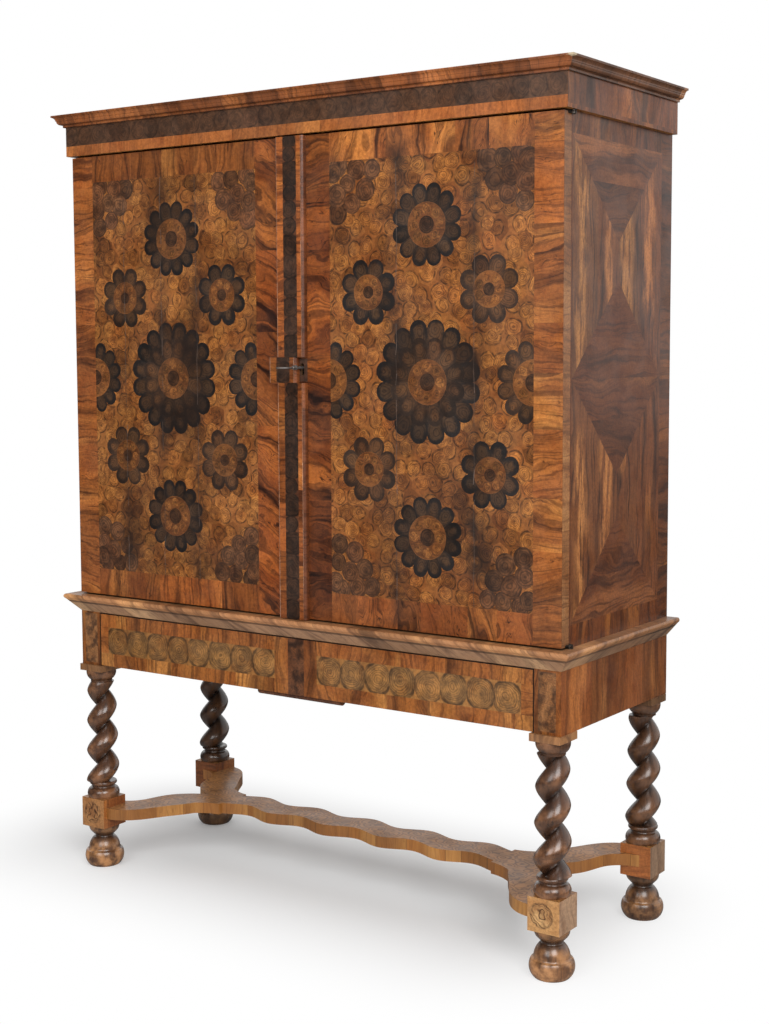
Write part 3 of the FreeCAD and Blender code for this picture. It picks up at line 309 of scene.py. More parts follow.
def oysters(leaf, pale, deep, line, rim, outside, rings, ring_strength, wander, rim_strength=0.8, square=0,
            toward_bark=0):
    """Slices of a branch, each with its rings, its bark line and what lies outside it."""
    cut = group(oyster_slice, Place=leaf.figure, Seed=leaf.seed, Rings=rings, Wander=wander, Square=square)
    mottle = cloud(seeded(leaf.figure, leaf.seed), 1.4, 3, 0.6) + (cut["Edge"] - 0.5) * toward_bark
    tint = blend(step(mottle, 0.35, 0.65), pale, deep)
    tint = blend(cut["Rings"] * ring_strength, tint, line)
    tint = blend(cut["Heart"] * 0.25, tint, line)
    tint = blend(cut["Outside"], tint, outside)
    tint = blend(cut["Rim"] * rim_strength, tint, rim)
    return tint, (cut["Rim"] + cut["Rings"] * 0.4) * -0.30


def petals(leaf, heart, line, rim):
    """Smoked slices that reach toward the middle of their flower and are blackest round their outer edge."""
    out, beside, _ = split(leaf.figure)
    out = maths("MAXIMUM", out, out * 0.62)
    cut = group(oyster_slice, Place=join(out, beside), Seed=leaf.seed, Rings=4.5)
    tint = blend(cut["Rings"] * 0.6, heart, line)
    ragged = (cloud(seeded(leaf.figure, leaf.seed), 2.6, 4, 0.65) - 0.5) * 0.9
    reach = cut["Edge"] + ragged + out * 0.22 + (leaf.seed - 0.5) * 0.45
    tint = blend(step(reach, 0.38, 0.86) * step(out, -0.75, 0.05, 0.45, 0.94), tint, rim)
    tint = blend(cut["Rings"] * 0.3, tint, line)
    tint = blend(cut["Rim"] * 0.6, tint, rim)
    return tint, cut["Rings"] * -0.12


def grained(place, seed, pale, mid, dark, flame=0.85, lines=0.6, contour=0.5, wild=1):
    """The tint and the relief of wood cut along its length."""
    figure = group(veneer_grain, Place=place, Seed=seed, Wild=wild)
    tint = blend(figure["Sap"], mid, pale)
    for mark, amount in (("Lines", lines), ("Flame", flame), ("Contour", contour)):
        tint = blend(figure[mark] * amount, tint, dark)
    tint = blend(step(figure["Fibre"], 0.30, 0.70, 0, 0.22), tint, mid, "MULTIPLY")
    return tint, figure["Fibre"] * 0.10


def long_grain(leaf, *tints, **looks):
    return grained(leaf.figure, leaf.seed, *tints, **looks)


def burr_leaves(leaf, pale, dark, darkest):
    """Golden patches between dark smudges and fine swirls."""
    burr = group(burr_figure, Place=seeded(leaf.place, leaf.seed), Size=3)
    tint = blend(burr["Patch"] * 0.9, pale, dark)
    tint = blend(burr["Swirl"] * 0.30, tint, darkest)
    return blend(burr["Eyes"] * 0.35, tint, darkest), burr["Swirl"] * -0.1


def side_leaves(leaf, pale, mid, dark):
    """Long leaves of the case sides, each with a streak of pale sapwood along the line through its heart."""
    tint, height = grained(leaf.figure, leaf.seed, mid, mid, dark, 0.75, 0.8, 0.4, 0.8)
    along, beside, _ = split(leaf.figure)
    drift = cloud(seeded(stretch(leaf.figure, (6, 16, 1)), leaf.seed), 1) - 0.5
    off = abs(beside + drift * 0.08)
    thinning = cloud(seeded(join(along * 8, beside * 70), leaf.seed), 1, 5, 0.75)
    run = cloud(seeded(join(along * 3.2, 0), leaf.seed), 1, 1)
    broken = step(run - leaf.warm * 0.22, 0.26, 0.42)
    sapwood = step(off, 0.006, 0.034, 1, 0) * step(thinning, 0.42, 0.56)
    return blend(sapwood * broken * 0.8, tint, pale), height


# Pale and deep wood, ring lines, bark, what lies outside; number of rings, their strength, how they wander,
# the bark's strength, squareness, how much deeper the wood grows toward the bark
OYSTER_WOODS = (
    ("light_oysters", (170, 110, 50), (130, 80, 35), (62, 36, 19), (48, 29, 17), (136, 84, 38), 5, 0.62, 0.75),
    ("smoky_oysters", (118, 78, 48), (82, 54, 35), (50, 34, 24), (46, 33, 25), (96, 62, 38), 4, 0.6, 0.55, 0.5),
    ("strip_oysters", (72, 50, 36), (54, 39, 30), (34, 25, 20), (28, 21, 18), (92, 56, 34), 4, 0.55, 0.9, 0.7),
    ("disc_oysters", (146, 94, 44), (110, 68, 32), (56, 35, 19), (72, 42, 23), (134, 82, 40), 2.6, 0.6, 1.4,
     0.35),
    ("drawer_oysters", (168, 118, 62), (126, 90, 51), (88, 62, 36), (66, 47, 30), (158, 108, 54), 7.5, 0.65,
     0.5, 0.8, 0.25, 0.15),
    ("frieze_oysters", (90, 62, 43), (70, 49, 35), (50, 35, 26), (48, 34, 26), (84, 58, 40), 4, 0.5, 0.9, 0.6),
    ("block_burr", (188, 146, 96), (160, 116, 72), (74, 45, 26), (58, 36, 22), (180, 134, 84), 2.6, 0.95, 2.4,
     0.4),
)
for look in OYSTER_WOODS:
    leaf_finish(oysters, *look)
leaf_finish(petals, "black_petals", (74, 53, 36), (44, 32, 25), (28, 27, 28))
leaf_finish(petals, "brown_petals", (92, 62, 38), (54, 38, 26), (48, 36, 29))
# Sapwood, wood, dark grain; strength of flame, lines and contour, wildness
GRAINED_WOODS = (
    ("crossbanding", (198, 130, 62), (160, 95, 42), (62, 32, 17), 0.75, 0.6, 0.75),
    ("curly_banding", (200, 130, 62), (160, 95, 43), (50, 26, 15), 0.85, 0.55, 1, 2.4),
    ("flamed_banding", (194, 114, 48), (142, 77, 31), (46, 22, 12), 1, 0.6, 0.9, 1.9),
    ("frieze_banding", (198, 130, 68), (160, 97, 47), (88, 50, 27), 0.35, 0.35, 0.3),
    ("drawer_banding", (178, 120, 56), (148, 90, 38), (70, 38, 18), 0.7),
    ("disc_wood", (144, 93, 46), (122, 76, 37), (72, 43, 23), 0.5, 0.6, 0.4),
    ("stand_crossbanding", (178, 116, 60), (142, 86, 43), (82, 47, 25), 0.5, 0.5, 0.15, 0.7),
    ("side_crossbanding", (156, 98, 50), (120, 70, 36), (56, 32, 19), 0.75),
    ("diamond_veneer", (146, 94, 54), (114, 68, 39), (64, 37, 23), 0.75),
    ("block_crossbanding", (180, 148, 116), (164, 132, 104), (122, 94, 70), 0.3, 0.6, 0.3),
    ("edge_veneer", (182, 128, 78), (160, 108, 64), (100, 64, 38), 0.4),
    ("lip_veneer", (132, 76, 38), (110, 62, 32), (70, 40, 22), 0.3, 0.3),
    # Pale edge lines: wear plus a painted highlight where a proud edge catches light
    ("worn_edge", (186, 158, 138), (164, 132, 112), (120, 84, 62), 0.5),
)
for look in GRAINED_WOODS:
    leaf_finish(long_grain, *look)
# Real splits, painted pale grey as the highlight the polish catches in them
leaf_finish(long_grain, "split_line", (124, 112, 106), (106, 92, 84), (56, 43, 36), smoked=0.3, coat=0)
# Near-black finish for the painted shadow strips in the gaps above and beside the drawer
leaf_finish(long_grain, "joint_grime", (44, 28, 19), (36, 23, 16), (24, 16, 12), coat=0)
leaf_finish(side_leaves, "side_veneer", (190, 128, 70), (124, 77, 43), (58, 35, 22))
leaf_finish(burr_leaves, "burr_column", (156, 106, 62), (78, 52, 35), (46, 31, 23))
leaf_finish(burr_leaves, "dark_burr_column", (112, 74, 46), (54, 38, 29), (34, 25, 20))


# Sheets of veneer

SMALLEST_LEAF = 1.5
CUT_SLACK = 0.01


class Leaf:
    """One leaf of veneer: its outline in mm, its wood, and where and how its figure lies."""

    def __init__(self, outline, wood, heart=(0, 0), grain=(1, 0), reach=1000, tone=(0.5, 0.5, 0.5), turn=1,
                 slim=1):
        area = sum(a[0] * b[1] - a[1] * b[0] for a, b in zip(outline, outline[1:] + outline[:1]))
        self.outline = outline if area > 0 else outline[::-1]
        self.area = abs(area) / 2
        self.wood, self.tone = wood, tone
        self.look = wood, heart, grain, reach, tone, turn, slim

    def figure(self, u, v):
        """The place in the leaf's own figure of a point of the sheet."""
        _, heart, grain, reach, _, turn, slim = self.look
        across, up = u - heart[0], v - heart[1]
        along = across * grain[0] + up * grain[1]
        beside = (up * grain[0] - across * grain[1]) * turn
        return along / reach, beside / (reach * slim)


def tile(u0, v0, u1, v1):
    return [(u0, v0), (u1, v0), (u1, v1), (u0, v1)]


def toward(turn):
    return cos(turn), sin(turn)


def off(centre, reach, turn):
    """The point at a distance from a centre in some direction."""
    return centre[0] + reach * cos(turn), centre[1] + reach * sin(turn)


def ring(centre, radius, corners, start_at=0):
    return [off(centre, radius, start_at + 2 * pi * corner / corners) for corner in range(corners)]


def tone(chance, bright=(0.3, 0.7), warm=(0.2, 0.6)):
    return chance.uniform(*bright), chance.random(), chance.uniform(*warm)


def front_face(y, inward=1):
    return lambda u, v, deep: Vector((u, y + inward * deep, v)) * MM


def side_face(x, inward):
    return lambda u, v, deep: Vector((x + inward * deep, u, v)) * MM


def lay_veneer(name, leaves, face, thick, body, stain=None, stands_for=()):
    """Cuts lapping leaves into one flat sheet, each laid over those before it, and lays it on a body."""
    corners, outlines = [], []
    leaves = [leaf for leaf in leaves if leaf.area > SMALLEST_LEAF]
    for leaf in leaves:
        outlines.append(list(range(len(corners), len(corners) + len(leaf.outline))))
        corners.extend(Vector(point) for point in leaf.outline)
    points, _, facets, _, _, owners = delaunay_2d_cdt(corners, [], outlines, 1, CUT_SLACK, True)
    kept = [(facet, leaves[max(owner)]) for facet, owner in zip(facets, owners) if owner]
    kept = [(facet, leaf) for facet, leaf in kept if leaf.wood]
    woods = sorted({leaf.wood for _, leaf in kept})
    shape = bmesh.new()
    figure = shape.loops.layers.uv.new("figure")
    tones = shape.loops.layers.float_color.new("tone")
    stains = shape.loops.layers.float.new("stain")
    flat = [(point.x, point.y) for point in points]
    front = [shape.verts.new(face(u, v, 0)) for u, v in flat]
    back = [shape.verts.new(face(u, v, thick)) for u, v in flat]
    marks = [stain(u, v) if stain else 0 for u, v in flat]

    def skin(around, numbers, leaf):
        facet = shape.faces.new(around)
        facet.material_index = woods.index(leaf.wood)
        for loop, number in zip(facet.loops, numbers):
            loop[figure].uv = leaf.figure(*flat[number])
            loop[tones] = (*leaf.tone, 1)
            loop[stains] = marks[number]

    rims = {}
    for facet, leaf in kept:
        skin([front[corner] for corner in facet], facet, leaf)
        skin([back[corner] for corner in reversed(facet)], facet[::-1], leaf)
        for first, second in zip(facet, facet[1:] + facet[:1]):
            rims[first, second] = leaf
    for (first, second), leaf in rims.items():
        if (second, first) not in rims:
            skin([front[second], front[first], back[first], back[second]], [second, first, first, second], leaf)
    bmesh.ops.delete(shape, geom=[vert for vert in shape.verts if not vert.link_faces], context="VERTS")
    bmesh.ops.recalc_face_normals(shape, faces=shape.faces)
    mesh = bpy.data.meshes.new(name)
    shape.to_mesh(mesh)
    shape.free()
    sheet = placed(name, mesh)
    for wood in woods:
        mesh.materials.append(FINISHES[wood])
    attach(sheet, body)
    if stands_for:
        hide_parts(*stands_for)


def cross_band(chance, u0, v0, u1, v1, upright, shortest, longest, wood="crossbanding", bright=(0.3, 0.7),
               warm=(0.2, 0.6), slant=0):
    """A band of short leaves with their grain across it. An upright band is built up along v."""
    leaves = []
    at, high = (v0, v1) if upright else (u0, u1)
    while at < high - 1:
        end = min(at + chance.uniform(shortest, longest), high)
        if high - end < shortest * 0.5:
            end = high
        outline = tile(u0, at, u1, end) if upright else tile(at, v0, end, v1)
        heart = (chance.uniform(-5000, 5000), chance.uniform(-5000, 5000))
        lean = slant + chance.uniform(-0.10, 0.10)
        grain = toward(lean) if upright else toward(lean + pi / 2)
        leaves.append(Leaf(outline, wood, heart, grain, tone=tone(chance, bright, warm)))
        at = end
    return leaves


def bands(chance, *rows):
    """Several such bands, laid one after the other."""
    return [leaf for row in rows for leaf in cross_band(chance, *row)]


def trimmed(outline, near, far):
    """The part of an outline that lies nearer to one heart than to another."""
    middle = ((near[0] + far[0]) / 2, (near[1] + far[1]) / 2)
    away = (far[0] - near[0], far[1] - near[1])
    depths = [(u - middle[0]) * away[0] + (v - middle[1]) * away[1] for u, v in outline]
    kept = []
    for number, point in enumerate(outline):
        follower = (number + 1) % len(outline)
        if depths[number] <= 0:
            kept.append(point)
        if (depths[number] <= 0) != (depths[follower] <= 0):
            part = depths[number] / (depths[number] - depths[follower])
            kept.append(tuple(a + (b - a) * part for a, b in zip(point, outline[follower])))
    return kept


def oyster_ground(chance, u0, v0, u1, v1, pitch, wood, looks):
    """A field of oysters, fitted to each other in rows. Looks are the ranges of brightness and warmth."""
    rows, count = round((v1 - v0) / (pitch * 0.88)), round((u1 - u0) / pitch)
    hearts = []
    for row in range(-1, rows + 1):
        v = v0 + (row + 0.5) * (v1 - v0) / rows
        for column in range(-1, count + 1):
            u = u0 + (column + 0.5 + 0.5 * (row % 2)) * (u1 - u0) / count
            hearts.append((u + chance.uniform(-0.27, 0.27) * pitch, v + chance.uniform(-0.24, 0.24) * pitch))
    leaves = []
    for heart in hearts:
        outline = tile(u0, v0, u1, v1)
        for other in hearts:
            if outline and other != heart and dist(other, heart) < pitch * 2.4:
                outline = trimmed(outline, heart, other)
        if len(outline) > 2:
            turn = chance.uniform(0, 2 * pi)
            look = tone(chance, *chance.choice(looks))
            leaves.append(Leaf(outline, wood, heart, toward(turn), pitch * chance.uniform(0.46, 0.60), look,
                               slim=chance.uniform(0.78, 1)))
    return leaves


def rosette(chance, centre, outer, disc, eye, count, petal="black_petals"):
    """A flower of dark oysters round a light disc with a dark eye."""
    half = pi / count
    out = outer / (1 + sin(half))
    radius = out * sin(half)
    root = max(disc, eye) - 3
    leaves = []
    for number in range(count):
        turn = pi / 2 + half * (2 * number + 1)
        heart = off(centre, out, turn)
        look = tone(chance, (0.2, 0.95), (0, 0.6))
        stem = [off(centre, reach, turn + side * half)
                for reach, side in ((root, -1), (out, -1), (out, 1), (root, 1))]
        for outline in (stem, ring(heart, radius * 1.01, 24, turn)):
            leaves.append(Leaf(outline, petal, heart, toward(turn), radius, look))
    if disc:
        leaves.append(Leaf(ring(centre, disc + 0.7, 40), "disc_wood", tone=(1, 0.5, 0)))
        leaves.append(Leaf(ring(centre, disc, 40), "disc_wood", centre, tone=tone(chance, (0.4, 0.7))))
        middle, wide = (disc + eye) / 2, disc - eye
        knots = round(2 * pi * middle / wide * 1.05)
        for number in range(knots):
            turn = 2 * pi * number / knots
            heart = off(centre, middle, turn)
            leaves.append(Leaf(ring(heart, wide * 0.41, 14), "disc_oysters", heart, toward(turn), wide * 0.45,
                               tone(chance, (0.1, 0.8))))
    dark = (-0.1, chance.random(), 0.3)
    leaves.append(Leaf(ring(centre, eye, 24), "smoky_oysters", centre, reach=eye, tone=dark))
    return leaves


def corner_cluster(chance, corner, outward):
    """Smoky oysters spreading from a corner of the field, in three rows."""
    leaves = []
    for out, count in ((108, 4), (70, 3), (30, 2)):
        for number in range(count):
            turn = pi / 2 * (number + 0.5) / count
            reach, radius = out + chance.uniform(-4, 4), chance.uniform(20, 25)
            heart = tuple(corner[axis] + outward[axis] * reach * toward(turn)[axis] for axis in (0, 1))
            leaves.append(Leaf(ring(heart, radius, 22), "smoky_oysters", heart, toward(turn), radius,
                               tone(chance, (0.1, 0.95), (0.1, 0.8))))
    return leaves


def within(leaves, u0, v0, u1, v1):
    """The leaves trimmed to a straight-sided field."""
    kept = []
    for leaf in leaves:
        outline = leaf.outline
        for near, far in (((u0 + 2, 0), (u0 - 2, 0)), ((u1 - 2, 0), (u1 + 2, 0)),
                          ((0, v0 + 2), (0, v0 - 2)), ((0, v1 - 2), (0, v1 + 2))):
            if len(outline) > 2:
                outline = trimmed(outline, near, far)
        if len(outline) > 2:
            kept.append(Leaf(outline, *leaf.look))
    return kept


def split_lines(chance, us, v0, v1):
    """Hairline splits where the boards below have parted, painted pale grey as the highlight the polish catches
    in them.
    """
    leaves = []
    half = 0.5
    for u in us:
        v, low = v0, u
        while v < v1 - 20:
            end = min(v + chance.uniform(16, 55), v1)
            high = u + chance.uniform(-1.8, 1.8)
            if chance.random() < 0.8:
                leaves.append(Leaf([(low - half, v), (low + half, v), (high + half, end), (high - half, end)],
                                   "split_line", (u, v), (0, 1), tone=tone(chance, (0, 1))))
            v, low = end, high
    return leaves


def bell(distance, width):
    return -(distance / width) ** 2


def smoke_marks(marks, splits):
    """How stained the veneer is at a point, from marks of (u, v, half width, half height, strength)."""
    def stain(u, v):
        total = 0.35 * max(0, noise.noise(Vector((u / 45, v / 80, 3.1))))
        for line in splits:
            total += max(0, 0.3 + 0.6 * noise.noise(Vector((line, v / 70, 8.4)))) * exp(bell(u - line, 17))
        for at_u, at_v, wide, high, strength in marks:
            total += strength * exp(bell(u - at_u, wide) + bell(v - at_v, high))
        from_side = min(abs(abs(u) - FIELD_INNER), abs(abs(u) - FIELD_OUTER))
        from_end = min(abs(v - FIELD_FOOT), abs(v - FIELD_HEAD))
        total += 0.15 * exp(bell(from_side, 75) + bell(from_end, 75))
        return min(1, max(0, total))
    return stain


# The two doors

FIELD_FOOT, FIELD_HEAD, FIELD_INNER, FIELD_OUTER = 734, 1642, 101, 594
DOOR_FOOT, DOOR_HEAD, DOOR_INNER, DOOR_OUTER = 672, 1702, 1, 657.8
DOOR_VENEER = 1.5
LARGE, SMALL, CUT_OFF = (85, 45, 18, 12), (71, 36, 13, 8), (83, 45, 18, 12)
LEFT_FLOWERS = [((-348, 1502), LARGE), ((-495, 1372), SMALL), ((-200, 1373), SMALL), ((-594, 1188), CUT_OFF),
                ((-101, 1188), CUT_OFF), ((-494, 1007), SMALL), ((-197, 1007), SMALL), ((-348, 873), LARGE)]
RIGHT_FLOWERS = [((345, 1502), LARGE), ((200, 1370), SMALL), ((492, 1370), SMALL), ((98, 1187), CUT_OFF),
                 ((593, 1187), CUT_OFF), ((200, 1003), SMALL), ((495, 1003), SMALL), ((346, 869), LARGE)]
LEFT_SMOKE = [(-370, 1600, 40, 60, 0.5), (-400, 1530, 40, 50, 0.5), (-305, 1255, 40, 50, 0.95),
              (-290, 1125, 35, 60, 0.8), (-280, 1350, 30, 60, 0.5), (-350, 1075, 60, 40, 0.5),
              (-460, 920, 50, 50, 0.45), (-270, 920, 40, 60, 0.4), (-470, 820, 50, 60, 0.6),
              (-410, 765, 50, 40, 0.5), (-240, 765, 60, 40, 0.45), (-150, 1480, 40, 60, 0.3)]
RIGHT_SMOKE = [(280, 1600, 26, 60, 0.6), (500, 1600, 70, 60, 0.38), (450, 1510, 26, 60, 0.7),
               (130, 1480, 40, 60, 0.4), (460, 1255, 30, 60, 0.5), (400, 965, 50, 50, 0.5),
               (255, 925, 40, 60, 0.6), (475, 830, 45, 70, 0.85), (235, 775, 50, 50, 0.55),
               (300, 1060, 40, 40, 0.35), (270, 1300, 26, 80, 0.4), (455, 1080, 24, 80, 0.35)]
LEFT_SPLITS, RIGHT_SPLITS = (-275, -381, -496), (270, 458)
LEFT_FADED, RIGHT_FADED = (1, 5, 6), (2, 4, 5)
OYSTER_PITCH = 37.5
GROUND_LOOKS = [((0.45, 0.9), (0, 0.25))] * 4 + [((0.3, 0.8), (0.25, 0.7))] * 3 + [((0, 0.35), (0.4, 0.9))] * 2


def door_leaves(seed, side, centre, flowers, faded, splits):
    """All leaves of one door's face. side is -1 for the left door and 1 for the right one."""
    chance = random.Random(seed)
    right = side > 0
    redder = 0.2 if right else 0.05
    looks = [(bright, (warm[0] + redder, warm[1] + redder)) for bright, warm in GROUND_LOOKS]
    low, high = sorted((side * FIELD_INNER, side * FIELD_OUTER))
    leaves = oyster_ground(chance, low, FIELD_FOOT, high, FIELD_HEAD, OYSTER_PITCH, "light_oysters", looks)
    laid_over = []
    for corner_u, outward_u in ((low, 1), (high, -1)):
        for corner_v, outward_v in ((FIELD_FOOT, 1), (FIELD_HEAD, -1)):
            laid_over += corner_cluster(chance, (corner_u, corner_v), (outward_u, outward_v))
    laid_over += rosette(chance, centre, 128, 0, 40, 16)
    laid_over += rosette(chance, centre, 92, 46, 18, 12, "brown_petals")
    for number, (middle, size) in enumerate(flowers):
        laid_over += rosette(chance, middle, *size, "brown_petals" if number in faded else "black_petals")
    leaves += within(laid_over, low, FIELD_FOOT, high, FIELD_HEAD)
    leaves += split_lines(chance, splits, FIELD_FOOT, FIELD_HEAD)
    inner = sorted((side * DOOR_INNER, side * FIELD_INNER))
    outer = sorted((side * FIELD_OUTER, side * DOOR_OUTER))
    wood = "curly_banding" if right else "crossbanding"
    return leaves + bands(
        chance,
        (inner[0], DOOR_FOOT, inner[1], DOOR_HEAD, True, 60, 210, "flamed_banding",
         (-0.1, 0.55) if right else (0.25, 0.85), (0.2, 0.8), 0 if right else -0.45),
        (outer[0], DOOR_FOOT, outer[1], DOOR_HEAD, True, 70, 190, "crossbanding", (0.35, 0.85), (0.1, 0.6)),
        (low, FIELD_HEAD, high, DOOR_HEAD, False, 60, 150, wood, (0.35, 0.8) if right else (0, 0.5),
         (0.1, 0.6)),
        (low, DOOR_FOOT, high, FIELD_FOOT, False, 50, 130, wood, (0.05, 0.85), (0.4, 0.9)))


def face_of(node, across=0):
    """A piece's left, foot, right and head in mm, or with across 1 its front, foot, back and head."""
    low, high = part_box(node)
    return low[across] / MM, low[2] / MM, high[across] / MM, high[2] / MM


def front_of(node):
    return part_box(node)[0][1] / MM


def lay_doors():
    left = door_leaves(11, -1, (-348, 1188), LEFT_FLOWERS, LEFT_FADED, LEFT_SPLITS)
    right = door_leaves(12, 1, (346, 1186), RIGHT_FLOWERS, RIGHT_FADED, RIGHT_SPLITS)
    right.append(Leaf(tile(*face_of("keyhole_plate")), None))
    for hand, leaves, marks, splits in (("left", left, LEFT_SMOKE, LEFT_SPLITS),
                                        ("right", right, RIGHT_SMOKE, RIGHT_SPLITS)):
        plain = hand + "_door_marquetry"
        lay_veneer(hand + "_door_flower_veneer", leaves, front_face(front_of(plain)), DOOR_VENEER,
                   hand + "_door", smoke_marks(marks, splits), [plain])


# Veneer on the case and stand

PROUD = 0.3
SHEET_THICK, BLOCK_SHEET_THICK = 0.6, 0.5
# Widths in mm of the painted shadow strips along the drawer's top and beside its sides
UNDER_WAIST, DRAWER_GAP_SHADOW, STILE_GAP_SHADOW = 0.2, 2.2, 2.4


def lay_front(name, leaves, node, body="root"):
    lay_veneer(name, leaves, front_face(front_of(node) - PROUD), SHEET_THICK, body)


def lay_side(name, leaves, hand, node, body="root"):
    left, _, right, _ = face_of(node)
    face = side_face(right + PROUD, -1) if hand == "right" else side_face(left - PROUD, 1)
    lay_veneer(name, leaves, face, SHEET_THICK, body)


def strip_leaves(seed, left, low, high, bright):
    """The strip's pattern: a dark row of oysters between two light bands, with pale lines along both edges that
    are wear plus a painted highlight on the proud edge.
    """
    chance = random.Random(seed)
    inner, outer, end_u = left + 18, left + 54, left + 72 - 6
    leaves = bands(chance, (left, low, inner, high, True, 50, 120, "crossbanding", bright, (0.6, 1)),
                   (outer, low, end_u, high, True, 50, 120, "crossbanding", bright, (0.6, 1)))
    at = low
    while at < high:
        end = min(at + chance.uniform(30, 52), high)
        heart = ((inner + outer) / 2 + chance.uniform(-3, 3), (at + end) / 2)
        reach = max(17, (end - at) * 0.56)
        leaves.append(Leaf(tile(inner, at, outer, end), "strip_oysters", heart, (0, 1), reach,
                           tone(chance, (0.2, 0.8))))
        at = end
    # Pale lines along both edges: wear plus a painted highlight on the proud edge
    return leaves + bands(chance, (left, low, left + 1, high, True, 40, 160, "worn_edge", (0.1, 1)),
                          (end_u - 0.8, low, end_u, high, True, 40, 160, "worn_edge", (0.1, 1)))


def lay_strip():
    """The strip in its two lengths, and the keyhole cover between them."""
    for number, (name, node, body, foot, head, bright) in enumerate((
            ("strip_veneer_low", "astragal", "right_door", 669.5, 1181, (0.1, 0.6)),
            ("strip_veneer_high", "astragal", "right_door", 1236, 1702, (0.5, 0.9)),
            ("cover_veneer", "keyhole_cover", "keyhole_cover", 1181.5, 1235.5, (0.05, 0.25)))):
        lay_front(name, strip_leaves(21 + number, face_of(node)[0], foot, head, bright), node, body)


def drawer_leaves():
    """The drawer's front: two rows of eight oysters in crossbanded borders, and a dark middle."""
    chance = random.Random(31)
    left, foot, right, head = face_of("drawer_front")
    row_foot, row_head, wood = 530, 593, "drawer_banding"
    row_left, row_right, middle_left, middle_right, column = -570, 568, -60, 57, 22
    leaves = bands(chance, (left, foot, right, row_foot, False, 40, 130, wood, (0.45, 0.9)),
                   (left, row_head, right, head, False, 40, 130, wood, (0.35, 0.9), (0.3, 0.8)),
                   (left, row_foot, row_left, row_head, True, 40, 70, wood, (0.4, 0.9)),
                   (row_right, row_foot, right, row_head, True, 30, 60, wood, (0.4, 0.9)),
                   (middle_left, foot, -column, head, False, 60, 90, "crossbanding", (0, 0.2), (0.4, 0.8)),
                   (column, foot, middle_right, head, False, 60, 90, "crossbanding", (0, 0.2), (0.4, 0.8)))
    leaves.append(Leaf(tile(-column, foot, column, head), "dark_burr_column", tone=(0.4, 0.3, 1)))
    for first, last in ((row_left, middle_left), (middle_right, row_right)):
        wide = (last - first) / 8
        for number in range(8):
            u = first + number * wide
            heart = (u + wide / 2 + chance.uniform(-2, 2), (row_foot + row_head) / 2 + chance.uniform(-2, 2))
            look = tone(chance, (0.22, 0.5) if u < 0 else (0.35, 0.65), (0, 0.3))
            outline = tile(u, row_foot, u + wide, row_head)
            leaves.append(Leaf(outline, "drawer_oysters", heart, (1, 0), wide * 0.54, look))
    # A painted shadow strip along the drawer's top edge, in the gap below the waist moulding
    return leaves + [Leaf(tile(left, head - DRAWER_GAP_SHADOW, right, head), "joint_grime")]


def lay_stand_front():
    """The drawer's front and the two stiles beside it, with painted shadow strips along the gaps between them.
    """
    lay_front("drawer_front_veneer", drawer_leaves(), "drawer_front", "drawer")
    _, foot, end, _ = face_of("stand_front_frame")
    edge, head = face_of("drawer_front")[2] + 0.5, face_of("waist_moulding_front")[1] - UNDER_WAIST
    for number, (hand, u0, u1, gap_shadow) in enumerate((("left", -end, -edge, (-edge - STILE_GAP_SHADOW, -edge)),
                                                   ("right", edge, end, (edge, edge + STILE_GAP_SHADOW)))):
        middle = (u0 + u1) / 2
        chance = random.Random(41 + number)
        leaves = cross_band(chance, u0, foot, u1, head, False, 15, 24, "drawer_banding", (0.1, 0.6))
        column = tile(middle - 20, foot + 6, middle + 20, head - 4)
        leaves.append(Leaf(column, "burr_column", tone=(0.45, 0.7, 0.1)))
        # A painted shadow strip on the stile, beside the drawer's side gap
        leaves.append(Leaf(tile(gap_shadow[0], foot, gap_shadow[1], head), "joint_grime"))
        lay_front(hand + "_stile_veneer", leaves, "stand_front_frame")


def mitred_panel(chance, u0, v0, u1, v1, bright, warmths):
    """Matched leaves that meet on mitres and on an upright seam. The coldest show the most sapwood."""
    middle, reach = (u0 + u1) / 2, (u1 - u0) / 2
    leaves = []
    for side, warmth in zip((1, -1), warmths):
        for number, (inner, outer, *places) in enumerate(((0, 0.46, 0.15, 0.32), (0.46, 1, 0.68, 0.86))):
            near, far = middle - side * reach * inner, middle - side * reach * outer
            outline = [(near, v0 + reach * (1 - inner)), (far, v0 + reach * (1 - outer)),
                       (far, v1 - reach * (1 - outer)), (near, v1 - reach * (1 - inner))]
            heart = (middle - side * reach * chance.uniform(*places), (v0 + v1) / 2)
            leaves.append(Leaf(outline, "side_veneer", heart, (0, 1), turn=side,
                               tone=(bright + 0.06 * number, chance.random(), warmth[number])))
    for v, inward in ((v0, 1), (v1, -1)):
        for inner, outer in ((0, 0.42), (0.42, 1)):
            near, far = v + inward * reach * inner, v + inward * reach * outer
            slack_near, slack_far = reach * inner, reach * outer
            tip = [(middle, far)] if outer == 1 else [(u1 - slack_far, far), (u0 + slack_far, far)]
            outline = [(u0 + slack_near, near), (u1 - slack_near, near)] + tip
            heart = (middle + chance.uniform(-40, 40), v + inward * reach * 0.5 + chance.uniform(-900, 900))
            look = tone(chance, (0.35, 0.6), (0.3, 0.8))
            leaves.append(Leaf(outline, "diamond_veneer", heart, (1, 0), tone=look))
    return leaves


def case_side_leaves(seed, node):
    """The side of the case: two mitred panels, one above the other, in crossbanded borders."""
    chance = random.Random(seed)
    front, foot, back, head = face_of(node, 1)
    lip, back_band, foot_band, head_band, middle = front + 4, back - 50, foot + 45, head - 43, 1193
    wood = "side_crossbanding"
    leaves = bands(chance, (front, foot, lip, head, True, 300, 500, "lip_veneer", (0.3, 0.6)),
                   (back_band, foot, back, head, True, 60, 160, wood, (0.1, 0.5)),
                   (lip, foot, back_band, foot_band, False, 40, 110, "crossbanding", (-0.1, 0.2), (0.7, 1)),
                   (lip, head_band, back_band, head, False, 40, 110, wood, (0.05, 0.45)))
    leaves += mitred_panel(chance, lip, foot_band, back_band, middle, 0.54, ((0.55, 0.35), (0.6, 0.9)))
    return leaves + mitred_panel(chance, lip, middle, back_band, head_band, 0.44, ((0.6, 0), (0.1, 0.9)))


